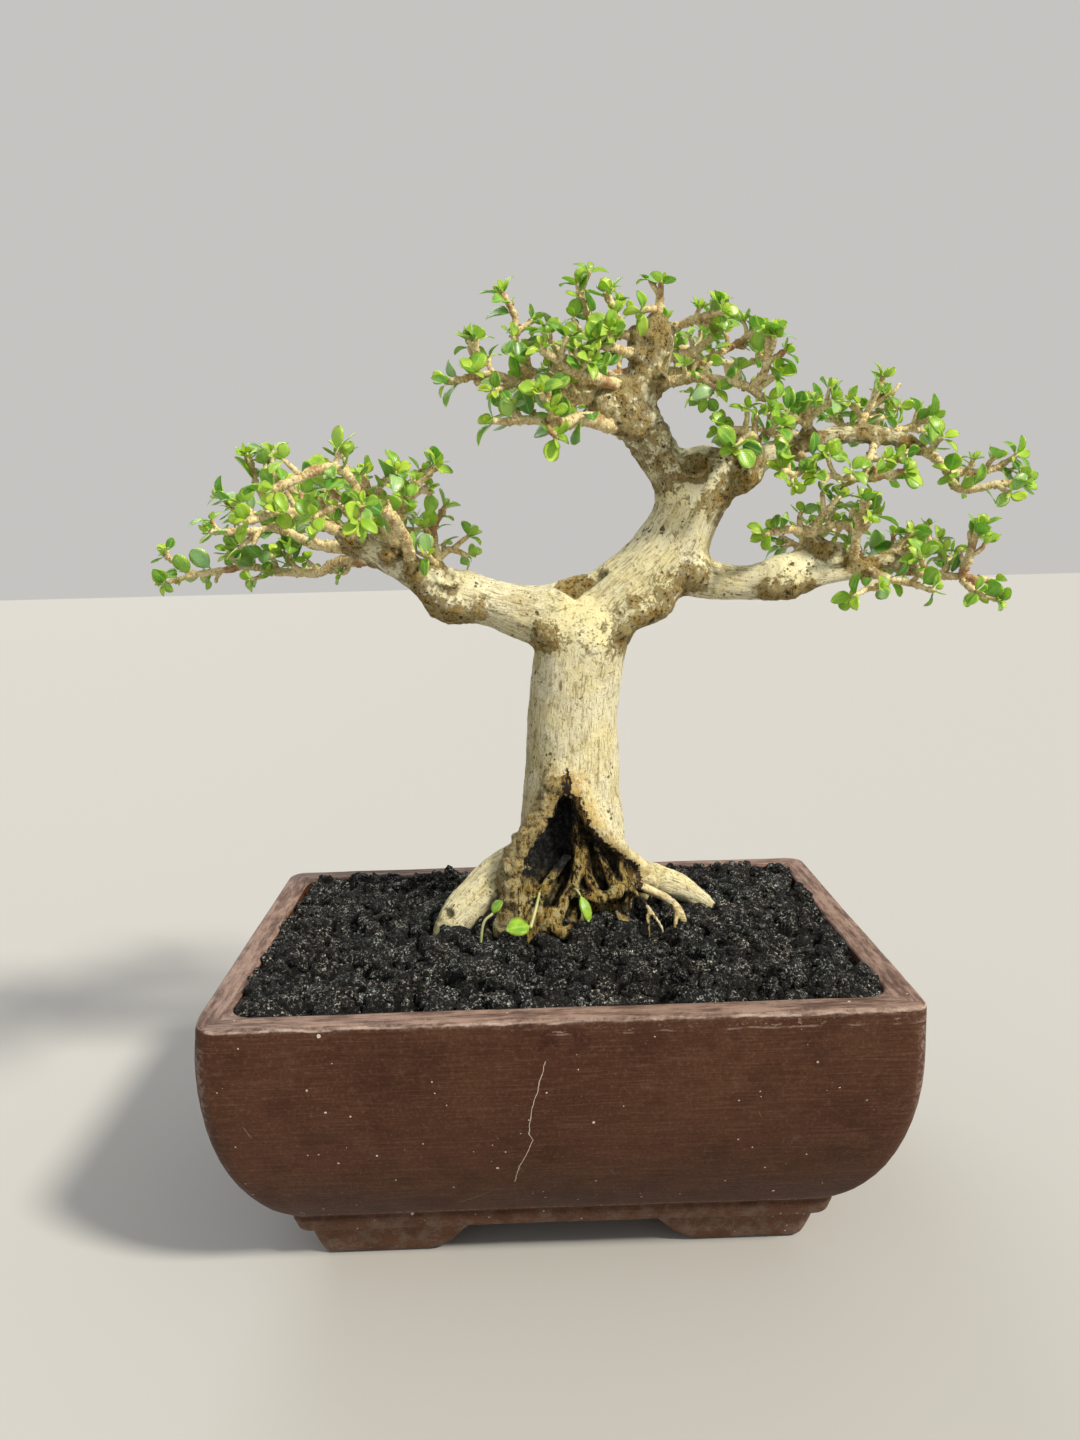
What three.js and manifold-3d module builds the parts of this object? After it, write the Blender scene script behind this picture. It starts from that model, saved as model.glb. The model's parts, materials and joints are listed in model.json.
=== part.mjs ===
// A premna microphylla bonsai in its rectangular clay pot, in millimetres with +Z up.
// The tree is modelled round the pot's middle, with the ground at zero height. The crown reaches further
// to the right than to the left, so at the end the group is moved left to stand evenly over the origin.
import * as THREE from 'three';
import { mergeVertices } from 'three/addons/utils/BufferGeometryUtils.js';
import Module from 'manifold-3d';

const wasm = await Module();
wasm.setup();

// How far the middle of pot and crown together lies to the right of the pot's own middle.
const crownOverhang = 19;

// The pot. The belly is a quarter of an ellipse of this reach and height below the plumb upper wall.
const potLength = 280;
const potDepth = 194;
const potHeight = 120;
const potCornerRadius = 7;
const rimWidth = 12;
const plumbHeight = 20;
const bellyReach = 44;
const bellyHeight = 82;
const bandTop = 26;
const bandInset = 27;
const rimEdge = 1.2;
const cavityCornerRadius = 10;
const floorTop = 28;
const undersideHeight = 16;
const cavityFootHeight = 34;
const drainRadius = 7;
const drainSpacing = 120;

// The feet. Insets are from the pot's outline, and half widths of the arches between them from its middle.
const footHeight = 16;
const footInsetTop = 32.5;
const footInsetBottom = 38;
const frontArchHalf = { top: 34, bottom: 57 };
const sideArchHalf = { top: 14, bottom: 30 };

// The soil
const soilEdgeHeight = 117.5;
const soilMound = 7;
const soilCrumb = 1.6;
const soilHeap = { x: -58, y: 50, halfWidth: 24, halfDepth: 18, height: 3 };
const soilGrid = { columns: 25, rows: 17 };

// The tree
const clearance = 0.3;
const mergeTolerance = 0.1;
const hollowBack = -4;
const limbRoughness = 0.08;
const bladeThickness = 0.7;
const leafLength = { least: 6.5, most: 10.5 };
const leafWidthShare = 0.62;
const pairSpacing = 34;
const leafyShare = 0.6;
const budHeight = 2.4;
const squareSwell = 1.2;
const skyPull = 0.15;
const spareLeans = [0, -0.3, 0.3, 0.5];
const endFace = 4;
const leafySeed = 7;

// Each limb is a list of points on its middle line, with its half thickness there: x, y, z, radius.
const trunkRows = [
  [10, 6, 100, 24], [10, 6, 125, 27.5], [10, 7, 148, 25.8], [10, 8, 169, 23.6], [11, 8, 192, 21.2], [13, 8, 218, 20],
  [17, 8, 241, 20], [19, 8, 258, 18.5], [21, 8, 271, 13],
];
const limbs = {
  second_trunk: [
    [17, 8, 254, 17], [30, 8, 268, 16], [44, 9, 279, 16], [56, 10, 292, 15.6], [63, 10, 305, 14.7],
    [68, 10, 318, 14], [71, 10, 327, 10],
  ],
  crown_leader: [
    [66, 10, 314, 12.5], [56, 9, 326, 9.6], [48, 8, 337, 8.8], [41, 6, 349, 8.2], [42, 6, 360, 7], [46, 7, 369, 6.3],
    [50, 7, 378, 6], [50, 6, 384, 4],
  ],
  left_limb: [
    [18, 8, 257, 15.5], [1, 7, 265, 12.2], [-11, 6, 266, 11.4], [-24, 4, 270, 10.6], [-36, 2, 274, 10.8],
    [-45, 0, 276, 8.8], [-54, -2, 282, 7], [-64, -4, 288, 5.6], [-73, -6, 294, 4.7], [-82, -8, 299, 3.6],
  ],
  lower_right_limb: [[58, 10, 284, 12], [74, 9, 278, 8.6], [88, 8, 276, 7.8], [101, 6, 277, 8], [112, 5, 279, 7]],
  lower_right_stub: [[106, 6, 281, 6.6], [120, 8, 285, 5.8], [127, 9, 288, 5.1], [131, 9, 289, 4]],
  lower_right_arm: [[106, 4, 277, 6], [122, 3, 278, 4.4], [135, 3, 280, 4], [149, 4, 284, 3.5], [160, 4, 281, 2.7]],
  upper_right_limb: [
    [68, 10, 317, 12], [84, 12, 324, 8.4], [93, 13, 328, 6.7], [102, 14, 332, 5.3], [111, 15, 335, 4.5],
    [121, 16, 338, 4], [135, 17, 340, 3.6], [152, 18, 340, 3.4], [164, 18, 336, 2.8],
  ],
  left_burl: [[-36, 2, 270, 7], [-43, 0, 272, 8], [-50, -1, 277, 5]],
  crutch_knot: [[40, 6, 274, 8], [51, 5, 269, 8], [58, 4, 274, 6]],
};
const roots = {
  left: [
    [-4, 5, 151, 13], [-21, 0, 146, 11], [-33, -4, 138, 10], [-42, -8, 130, 9], [-48, -11, 119, 7],
    [-50, -13, 108, 4],
  ],
  left_front: [[-6, -5, 146, 10], [-19, -12, 138, 7.5], [-25, -16, 128, 5.5], [-28, -18, 116, 3]],
  right: [[22, 8, 146, 14], [42, 10, 139, 8.6], [57, 12, 134, 7], [69, 14, 127, 5.2], [79, 14, 118, 3], [84, 14, 109, 2]],
  front: [[11, -7, 142, 10], [3, -15, 137, 8], [-2, -19, 126, 6], [-4, -20, 113, 4]],
  front_right: [[16, -6, 146, 10], [25, -9, 138, 8], [31, -10, 128, 5], [34, -11, 114, 3]],
  back: [[10, 16, 146, 13], [7, 30, 136, 9], [3, 42, 125, 6], [0, 48, 112, 4]],
  back_left: [[-2, 14, 143, 12], [-17, 24, 134, 8], [-28, 32, 124, 5], [-33, 36, 112, 3]],
  back_right: [[22, 14, 143, 12], [34, 26, 134, 8], [44, 34, 124, 5], [50, 39, 112, 3]],
  thin_right: [[34, 3, 143, 3], [47, -4, 139, 2.6], [56, -8, 133, 2.3], [62, -12, 122, 1.8], [63, -13, 114, 1.4]],
  thin_front: [[29, -5, 147, 2.4], [39, -12, 141, 1.7], [43, -16, 134, 1.5], [46, -20, 122, 1.4], [46, -21, 114, 1.2]],
};
const woundLips = {
  left: [[6, -11, 188, 4], [1, -13, 178, 4.2], [-8, -14, 165, 4.6], [-13, -15, 152, 5], [-14, -16, 138, 5]],
  right: [[7, -11, 188, 4], [14, -13, 174, 4], [25, -12, 160, 4.4], [33, -8, 150, 4.6], [37, -6, 140, 4]],
  middle_ridge: [[11, -7, 178, 2.4], [12, -9, 164, 3], [13, -10, 150, 3.2], [14, -12, 136, 3.4], [15, -13, 122, 3]],
  left_ridge: [[2, -7, 168, 2], [0, -9, 156, 2.8], [-2, -11, 146, 3], [-4, -14, 132, 3]],
  right_ridge: [[20, -6, 162, 2], [22, -7, 152, 3], [23, -9, 142, 3.4], [24, -11, 128, 3]],
};
const hollowOutline = [
  [7, 186], [1, 177], [-8, 164], [-13, 152], [-13, 124], [33, 124], [33, 150], [24, 160], [13, 174],
];

// Each leafy stem is a list of twigs. A twig is its half thickness at both ends, then its points.
const leafyStems = {
  left_low: [
    [3.5, 1.6, [-69, -2, 291], [-92, 12, 289], [-102, 16, 285], [-123, 24, 286], [-136, 26, 288], [-163, 30, 285]],
    [1.5, 1.1, [-161, 30, 285], [-174, 30, 294]],
    [1.5, 1.1, [-160, 30, 285], [-173, 26, 282]],
    [1.8, 1.2, [-136, 26, 288], [-142, 20, 295]],
    [1.8, 1.2, [-111, 20, 285], [-116, 14, 294]],
  ],
  left_straight: [
    [3.7, 1.6, [-80, -8, 298], [-90, -14, 304], [-104, -28, 311], [-118, -42, 307]],
    [2, 1.1, [-104, -28, 311], [-112, -32, 316], [-116, -32, 324], [-118, -30, 333]],
    [1.6, 1.1, [-109, -31, 315], [-107, -36, 323], [-108, -38, 334]],
    [1.6, 1.3, [-99, -23, 309], [-101, -16, 318]],
  ],
  left_back: [
    [4, 1.4, [-79, -3, 296], [-89, 2, 296], [-102, 8, 298], [-116, 14, 304], [-129, 12, 304], [-146, 8, 304]],
    [2.2, 1.2, [-116, 14, 304], [-128, 20, 311], [-144, 22, 319]],
    [1.6, 1.2, [-125, 13, 304], [-136, 16, 297]],
  ],
  left_front: [
    [3.2, 1.8, [-57, -5, 285], [-58, -20, 298], [-62, -32, 308], [-70, -42, 314], [-80, -60, 326], [-100, -70, 318]],
    [2, 1.3, [-70, -43, 314], [-82, -54, 311], [-88, -60, 308]],
    [1.7, 1.2, [-68, -40, 314], [-63, -46, 321], [-58, -50, 324]],
    [1.5, 1.1, [-80, -60, 326], [-78, -58, 332]],
    [1.5, 1.1, [-73, -50, 319], [-71, -64, 312], [-70, -72, 306]],
  ],
  left_upright: [
    [3, 1.4, [-64, -5, 290], [-63, -14, 303], [-58, -20, 314], [-51, -24, 322], [-44, -26, 327]],
    [1.7, 1.3, [-58, -20, 314], [-49, -15, 320]],
  ],
  left_right: [
    [3.8, 1.5, [-47, 0, 279], [-47, 4, 291], [-49, 6, 301], [-43, 8, 312]],
    [2.1, 1.3, [-47, 4, 290], [-41, 8, 294], [-34, 10, 291]],
    [1.8, 1.4, [-49, 6, 300], [-56, 12, 307]],
    [1.8, 1.3, [-47, 3, 287], [-50, -12, 292]],
  ],
  left_rear: [
    [3.4, 1.5, [-58, 2, 284], [-69, 22, 296], [-82, 40, 306], [-97, 54, 314], [-108, 62, 320]],
    [1.9, 1.4, [-75, 30, 301], [-88, 44, 299]],
    [1.9, 1.4, [-86, 44, 308], [-84, 46, 319]],
    [1.6, 1.3, [-80, 37, 304], [-66, 44, 311]],
  ],
  left_rear_high: [
    [3, 1.4, [-73, -2, 294], [-87, 18, 302], [-101, 32, 309], [-112, 40, 318], [-119, 42, 325]],
    [1.7, 1.3, [-101, 32, 309], [-94, 28, 321]],
    [1.6, 1.3, [-94, 25, 305], [-112, 25, 303]],
  ],
  crown_left: [
    [3, 1.4, [47, 4, 381], [35, 0, 382], [24, -7, 383], [20, -10, 389], [16, -12, 399]],
    [1.9, 1.3, [35, 0, 382], [33, -2, 388], [29, -4, 397]],
    [1.7, 1.1, [26, -6, 383], [15, -15, 379]],
  ],
  crown_top: [
    [3.6, 1.4, [50, 6, 381], [51, 4, 391], [52, 2, 402]],
    [1.6, 1.2, [51, 4, 393], [43, -6, 390]],
  ],
  crown_right: [
    [3, 1.3, [50, 8, 382], [59, 10, 386], [66, 6, 388], [77, 0, 390]],
    [1.5, 1.1, [66, 6, 388], [74, 12, 387]],
  ],
  crown_mid_left: [
    [2.8, 1.2, [44, 4, 373], [29, -10, 375], [21, -17, 374]],
    [1.5, 1.1, [31, -8, 375], [28, -20, 380]],
  ],
  crown_mid_right: [
    [3, 1.5, [50, 10, 374], [67, 18, 377], [75, 22, 382], [79, 24, 388]],
    [1.8, 1.3, [67, 18, 377], [74, 16, 371]],
  ],
  crown_far_right: [
    [3.5, 1.6, [46, 5, 362], [57, 0, 362], [66, -6, 363], [84, -14, 358], [92, -18, 352]],
    [2.2, 1.5, [87, -15, 357], [92, -19, 364], [92, -22, 376]],
    [1.7, 1.2, [67, -6, 363], [72, -14, 357]],
    [1.6, 1.2, [92, -20, 366], [99, -22, 370]],
  ],
  crown_right_back: [
    [3, 1.5, [49, 10, 368], [64, 26, 370], [77, 34, 376], [91, 38, 383], [98, 38, 388]],
    [1.8, 1.4, [77, 34, 376], [92, 31, 373], [99, 29, 375]],
    [1.4, 1.1, [90, 38, 383], [104, 44, 388]],
  ],
  crown_low_left: [
    [6, 1.6, [39, 3, 347], [29, -5, 345], [18, -13, 346], [8, -19, 344], [-1, -24, 345], [-20, -32, 344]],
    [2.2, 1.4, [7, -20, 344], [2, -30, 350], [-1, -38, 354]],
    [1.7, 1.2, [-1, -24, 345], [5, -27, 338]],
    [1.7, 1.2, [-8, -27, 345], [-13, -22, 350]],
  ],
  crown_far_left: [
    [3.8, 1.4, [34, 0, 355], [14, -8, 356], [-1, -12, 358], [-12, -16, 362], [-23, -18, 364], [-39, -20, 361]],
    [2, 1.4, [-27, -18, 363], [-26, -16, 372], [-29, -16, 378]],
    [1.7, 1.3, [-12, -16, 361], [-19, -24, 357]],
    [2, 1.4, [-4, -13, 359], [-8, -22, 368]],
  ],
  crown_tall_left: [
    [3, 1.4, [36, 7, 360], [13, 8, 364], [-2, 6, 368], [-10, 2, 374], [-10, 0, 389], [-15, 0, 399]],
    [1.7, 1.3, [-10, 1, 383], [-3, 4, 389]],
    [1.7, 1.3, [-2, 6, 368], [-9, 17, 367]],
  ],
  crown_stub_left: [
    [3.4, 1.7, [38, 2, 360], [22, -16, 362], [13, -20, 364], [1, -26, 372]],
    [1.8, 1.3, [16, -18, 363], [6, -12, 376], [1, -10, 382]],
    [1.6, 1.2, [15, -19, 364], [19, -28, 367]],
  ],
  crown_rear_left: [
    [3.3, 1.5, [40, 10, 362], [33, 32, 369], [22, 50, 376], [10, 64, 381]],
    [1.9, 1.4, [28, 41, 373], [25, 46, 384]],
    [1.9, 1.4, [22, 50, 376], [14, 56, 370]],
    [1.6, 1.3, [31, 36, 371], [44, 46, 374]],
  ],
  crown_rear_right: [
    [3, 1.5, [48, 10, 375], [59, 34, 380], [70, 54, 384], [79, 66, 387]],
    [1.8, 1.4, [59, 34, 380], [57, 42, 389]],
    [1.6, 1.2, [70, 54, 384], [60, 64, 380]],
  ],
  crown_rear_low: [
    [3.4, 1.5, [42, 10, 352], [30, 34, 357], [16, 52, 362], [1, 64, 365], [-10, 70, 369]],
    [1.9, 1.4, [16, 52, 362], [11, 58, 354]],
    [1.6, 1.2, [1, 64, 365], [4, 66, 375]],
    [1.6, 1.3, [24, 42, 359], [6, 40, 363]],
  ],
  right_end: [
    [2.8, 1.8, [164, 18, 336], [173, 16, 331], [180, 14, 325], [186, 12, 315], [200, 8, 316], [211, 6, 317]],
    [2.2, 1.4, [181, 13, 321], [191, 17, 322], [203, 19, 323], [214, 18, 329]],
    [1.8, 1.3, [173, 16, 331], [176, 8, 337]],
    [1.8, 1.3, [168, 17, 334], [158, 8, 328]],
  ],
  right_vertical: [
    [3.1, 2.3, [120, 15, 337], [117, 10, 344], [116, 8, 351]],
    [1.8, 1.3, [117, 10, 344], [106, 2, 349]],
    [1.8, 1.3, [117, 10, 346], [126, 3, 353]],
  ],
  right_twig: [
    [2.2, 1.3, [143, 17, 339], [147, 24, 348], [153, 26, 359], [155, 26, 365]],
    [1.6, 1.2, [149, 25, 352], [159, 30, 358], [165, 32, 353]],
    [1.6, 1.2, [147, 24, 348], [138, 20, 354]],
  ],
  right_under: [
    [2.3, 1.3, [151, 17, 339], [144, 6, 329], [141, 0, 320], [154, -7, 322]],
    [1.6, 1.3, [141, 0, 320], [130, -4, 320], [117, -8, 322]],
  ],
  right_under_near: [
    [2.7, 1.3, [112, 14, 334], [114, 2, 328], [109, -4, 322], [101, -12, 324]],
    [1.6, 1.2, [113, 2, 328], [122, -6, 330]],
  ],
  right_inner: [
    [3.4, 1.5, [91, 10, 329], [92, -2, 336], [85, -10, 340], [75, -15, 341]],
    [1.7, 1.3, [92, -2, 336], [99, -9, 342]],
    [1.7, 1.2, [86, -9, 339], [80, -20, 333]],
  ],
  right_rear: [
    [3.2, 1.4, [101, 16, 332], [112, 34, 341], [122, 46, 350], [133, 54, 356]],
    [1.8, 1.4, [112, 34, 341], [103, 46, 346]],
    [1.6, 1.3, [118, 41, 346], [128, 40, 357]],
  ],
  right_rear_mid: [
    [2.7, 1.4, [131, 18, 339], [145, 42, 345], [159, 58, 350], [170, 66, 352]],
    [1.9, 1.4, [145, 42, 345], [141, 56, 351]],
    [1.6, 1.3, [152, 50, 348], [160, 46, 357]],
  ],
  right_rear_end: [
    [2.4, 1.3, [156, 19, 339], [171, 40, 344], [184, 52, 344]],
    [1.6, 1.3, [168, 36, 343], [182, 34, 348]],
  ],
  low_end: [
    [2.6, 1.6, [159, 4, 281], [175, 0, 277], [185, -2, 276], [197, -4, 274]],
    [2.3, 1.8, [183, -2, 276], [185, -6, 286], [188, -8, 298]],
    [1.8, 1.3, [183, -2, 275], [188, -10, 269], [194, -12, 267]],
    [1.8, 1.3, [169, 2, 279], [162, -9, 286]],
    [1.8, 1.3, [176, 0, 277], [183, 9, 285]],
  ],
  low_stub: [
    [3.6, 1.5, [124, 9, 288], [118, 6, 297], [106, -4, 299], [94, -10, 297]],
    [2.1, 1.4, [118, 5, 297], [121, 2, 303], [128, -3, 312]],
    [2, 1.4, [119, 6, 296], [131, 14, 300], [140, 17, 298]],
  ],
  low_up: [
    [2.6, 1.4, [137, 3, 281], [135, -5, 292], [136, -7, 302], [137, -9, 310]],
    [1.5, 1.2, [135, -6, 299], [144, -3, 304]],
  ],
  low_under: [
    [2.6, 1.4, [141, 2, 281], [147, -8, 277], [155, -12, 275], [165, -17, 272]],
    [1.8, 1.3, [149, -9, 277], [138, -20, 274], [128, -27, 271]],
  ],
  low_top: [
    [2.2, 1.4, [152, 4, 284], [160, 15, 290], [168, 19, 294]],
    [1.7, 1.3, [159, 14, 289], [172, 24, 286], [183, 27, 292]],
  ],
  low_rear: [
    [3.5, 1.4, [112, 8, 282], [121, 32, 290], [133, 48, 297], [145, 58, 302]],
    [1.9, 1.4, [121, 32, 290], [115, 46, 295]],
    [1.6, 1.3, [127, 40, 293], [137, 36, 302]],
  ],
  low_rear_end: [
    [2.6, 1.4, [136, 5, 281], [150, 29, 283], [166, 44, 286], [179, 54, 290]],
    [1.9, 1.4, [150, 29, 283], [146, 43, 288]],
    [1.6, 1.2, [158, 37, 285], [170, 36, 281]],
  ],
};

// The sprouts at the foot of the trunk. Each stem's way goes from the soil up to the leaf's foot.
const sprouts = {
  round_leaf: {
    radius: 0.9,
    way: [[-10, -31, 112], [-9, -31, 127], [-8, -29, 132]],
    leafTip: [-19, -34, 131],
    widthShare: 0.8,
  },
  small_leaf: {
    radius: 0.8,
    way: [[-35, -28, 112], [-34, -28, 130], [-31, -27, 136]],
    leafTip: [-24, -29, 138],
    widthShare: 0.6,
  },
  narrow_leaf: {
    radius: 0.8,
    way: [[11, -34, 112], [12, -33, 127], [12, -32, 133]],
    leafTip: [13, -30, 144],
    widthShare: 0.4,
  },
};

// A direction that no limb or twig runs along, to start the rings' corners from.
const offAxis = new THREE.Vector3(0.31, 0.83, 0.46);

// A repeatable run of numbers from 0 to 1.
function seededRun(seed) {
  let state = seed;
  return () => {
    state = (Math.imul(state, 1664525) + 1013904223) >>> 0;
    return state / 4294967296;
  };
}

// Edges much shorter than the tolerance are merged wherever solids are joined or cut.
function solidOf(geometry, tolerance = 0.01) {
  const bare = geometry.clone();
  bare.deleteAttribute('normal');
  bare.deleteAttribute('uv');
  const merged = mergeVertices(bare, 1e-4);
  const mesh = new wasm.Mesh({
    numProp: 3,
    vertProperties: new Float32Array(merged.attributes.position.array),
    triVerts: new Uint32Array(merged.index.array),
    tolerance,
  });
  return new wasm.Manifold(mesh);
}

function geometryOf(solid) {
  const mesh = solid.getMesh();
  const geometry = new THREE.BufferGeometry();
  geometry.setAttribute('position', new THREE.BufferAttribute(mesh.vertProperties, 3));
  geometry.setIndex(new THREE.BufferAttribute(mesh.triVerts, 1));
  return geometry;
}

// A closed skin over a stack of rings with equal numbers of points, closed by a fan at each end.
function loft(rings) {
  const sides = rings[0].length;
  const points = rings.flat();
  const faces = [];
  for (let level = 0; level < rings.length - 1; level += 1) {
    for (let side = 0; side < sides; side += 1) {
      const next = (side + 1) % sides;
      const [a, b] = [level * sides + side, level * sides + next];
      const [c, d] = [b + sides, a + sides];
      faces.push(a, b, c, a, c, d);
    }
  }
  const closings = [[0, rings[0], true], [(rings.length - 1) * sides, rings[rings.length - 1], false]];
  for (const [start, ring, isFirst] of closings) {
    const middle = new THREE.Vector3();
    ring.forEach((point) => middle.addScaledVector(point, 1 / sides));
    points.push(middle);
    for (let side = 0; side < sides; side += 1) {
      const next = (side + 1) % sides;
      const pair = isFirst ? [start + next, start + side] : [start + side, start + next];
      faces.push(points.length - 1, ...pair);
    }
  }
  const geometry = new THREE.BufferGeometry().setFromPoints(points);
  geometry.setIndex(faces);
  return geometry;
}

// A rounded rectangle seen from above, counter-clockwise.
function rectangleRing(halfLength, halfDepth, radius, height) {
  const stepsPerCorner = 2;
  const corners = [[1, 1], [-1, 1], [-1, -1], [1, -1]];
  return corners.flatMap(([signX, signY], corner) => {
    const ring = [];
    for (let step = 0; step <= stepsPerCorner; step += 1) {
      const angle = (corner + step / stepsPerCorner) * Math.PI / 2;
      ring.push(new THREE.Vector3(
        signX * (halfLength - radius) + radius * Math.cos(angle),
        signY * (halfDepth - radius) + radius * Math.sin(angle),
        height,
      ));
    }
    return ring;
  });
}

function potRing(inset, height, radius = potCornerRadius) {
  return rectangleRing(potLength / 2 - inset, potDepth / 2 - inset, radius, height);
}

// How far the belly has drawn in at a height: plumb at the top, then a quarter of an ellipse.
function bellyInset(height) {
  const drop = potHeight - plumbHeight - height;
  return drop <= 0 ? 0 : bellyReach * (1 - Math.sqrt(1 - (drop / bellyHeight) ** 2));
}

// The room inside the pot, from its mouth down to its floor.
function cavityRings(gap) {
  const rings = [];
  const levels = [potHeight, 92, 70, 50, 38, floorTop + gap];
  for (const height of levels) {
    const inset = rimWidth + gap + bellyInset(Math.max(height, cavityFootHeight));
    rings.push(potRing(inset, height, cavityCornerRadius - gap));
  }
  return rings;
}

// One block under the whole pot, cut into four feet by an arched gap each way.
function makeFeet() {
  const block = solidOf(loft([
    potRing(footInsetBottom, 0),
    potRing(footInsetBottom - 1.6, 4),
    potRing(footInsetTop + 0.8, 10),
    potRing(footInsetTop, footHeight + 1),
  ]));
  const arch = (half, length, turned) => {
    const shape = new THREE.Shape();
    shape.moveTo(-half.bottom, -1);
    shape.lineTo(half.bottom, -1);
    shape.lineTo(half.bottom, 0);
    shape.bezierCurveTo(half.bottom - 6, 9, half.top + 9, 6, half.top, footHeight);
    shape.lineTo(-half.top, footHeight);
    shape.bezierCurveTo(-half.top - 9, 6, -half.bottom + 6, 9, -half.bottom, 0);
    const geometry = new THREE.ExtrudeGeometry(shape, { depth: length, curveSegments: 5, bevelEnabled: false });
    geometry.rotateX(Math.PI / 2);
    geometry.translate(0, length / 2, 0);
    if (turned) geometry.rotateZ(Math.PI / 2);
    return solidOf(geometry);
  };
  return block.subtract(arch(frontArchHalf, potDepth, false)).subtract(arch(sideArchHalf, potLength, true));
}

function makePot() {
  const outside = [
    potRing(footInsetTop + 0.5, undersideHeight),
    potRing(bandInset + 2.4, undersideHeight + 1),
    potRing(bandInset + 0.4, undersideHeight + 3.4),
    potRing(bandInset, undersideHeight + 6),
    potRing(bandInset + 0.8, undersideHeight + 9),
  ];
  for (const height of [bandTop, 32, 41, 54, 72, 100]) {
    outside.push(potRing(bellyInset(height), height));
  }
  outside.push(potRing(0, potHeight - rimEdge), potRing(rimEdge, potHeight));
  const body = solidOf(loft([...outside, ...cavityRings(0)]));
  const drain = (x) => {
    const plug = new THREE.CylinderGeometry(drainRadius, drainRadius, floorTop, 12);
    plug.rotateX(Math.PI / 2);
    plug.translate(x, 0, (undersideHeight + floorTop) / 2);
    return solidOf(plug);
  };
  return body.add(makeFeet()).subtract(drain(-drainSpacing / 2)).subtract(drain(drainSpacing / 2));
}

// The soil's height: a mound that falls to the pot's walls, a heap behind the tree and lumps in crossed waves.
function soilHeight(x, y) {
  const mound = (1 - (2 * x / potLength) ** 2) * (1 - (2 * y / potDepth) ** 2);
  const heapX = (x - soilHeap.x) / soilHeap.halfWidth;
  const heapY = (y - soilHeap.y) / soilHeap.halfDepth;
  const heap = soilHeap.height * Math.exp(-(heapX ** 2) - (heapY ** 2));
  const wideLumps = Math.sin(x * 0.41 + 2.1 * Math.sin(y * 0.23)) * Math.sin(y * 0.47 + 2.4 * Math.cos(x * 0.19));
  const smallLumps = Math.sin(x * 0.87 + y * 0.33) * Math.cos(y * 0.79 - x * 0.27);
  return soilEdgeHeight + soilMound * mound + heap + soilCrumb * (wideLumps + 0.7 * smallLumps);
}

// The soil's top is a grid of heights, closed by a tall upturned pyramid that the pot's cavity then trims.
function makeSoil(holes) {
  const { columns, rows } = soilGrid;
  const pyramidDepth = 3000;
  const roomHeight = 20;
  const top = new THREE.PlaneGeometry(potLength, potDepth, columns, rows);
  const flat = top.attributes.position;
  const points = [];
  for (let index = 0; index < flat.count; index += 1) {
    const [x, y] = [flat.getX(index), flat.getY(index)];
    points.push(new THREE.Vector3(x, y, soilHeight(x, y)));
  }
  const border = [];
  const at = (column, row) => row * (columns + 1) + column;
  for (let column = 0; column < columns; column += 1) border.push(at(column, 0));
  for (let row = 0; row < rows; row += 1) border.push(at(columns, row));
  for (let column = columns; column > 0; column -= 1) border.push(at(column, rows));
  for (let row = rows; row > 0; row -= 1) border.push(at(0, row));
  const apex = points.length;
  points.push(new THREE.Vector3(0, 0, -pyramidDepth));
  const faces = [...top.index.array];
  border.forEach((corner, step) => faces.push(corner, border[(step + 1) % border.length], apex));
  const slab = new THREE.BufferGeometry().setFromPoints(points);
  slab.setIndex(faces);
  const room = cavityRings(clearance);
  const opening = room[0].map((point) => point.clone().setZ(potHeight + roomHeight));
  const cavity = solidOf(loft([opening, ...room].reverse()));
  return solidOf(slab).intersect(cavity).subtract(holes);
}

// A limb with a ring at each of its rows of x, y, z, radius, and a rounded end where it is thick.
function limbSolid(rows, sides, grow, roughness, seed) {
  const places = rows.map(([x, y, z]) => new THREE.Vector3(x, y, z));
  const line = new THREE.CatmullRomCurve3(places, false, 'centripetal');
  const random = seededRun(seed);
  const side = offAxis.clone().cross(line.getTangent(0));
  const rings = rows.map(([, , , radius], row) => {
    const tangent = line.getTangent(row / (rows.length - 1));
    side.addScaledVector(tangent, -side.dot(tangent)).normalize();
    const other = tangent.clone().cross(side);
    const ring = [];
    for (let corner = 0; corner < sides; corner += 1) {
      const angle = corner / sides * Math.PI * 2;
      const reach = radius * (1 + roughness * (random() - 0.5)) + grow;
      ring.push(places[row].clone()
        .addScaledVector(side, reach * Math.cos(angle))
        .addScaledVector(other, reach * Math.sin(angle)));
    }
    return ring;
  });
  if (sides > 6) {
    const end = places[places.length - 1];
    const nose = line.getTangent(1).multiplyScalar(0.5 * rows[rows.length - 1][3] + grow);
    rings.push(rings[rings.length - 1].map((point) => point.clone().lerp(end, 0.4).add(nose)));
  }
  return solidOf(loft(rings), mergeTolerance);
}

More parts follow.
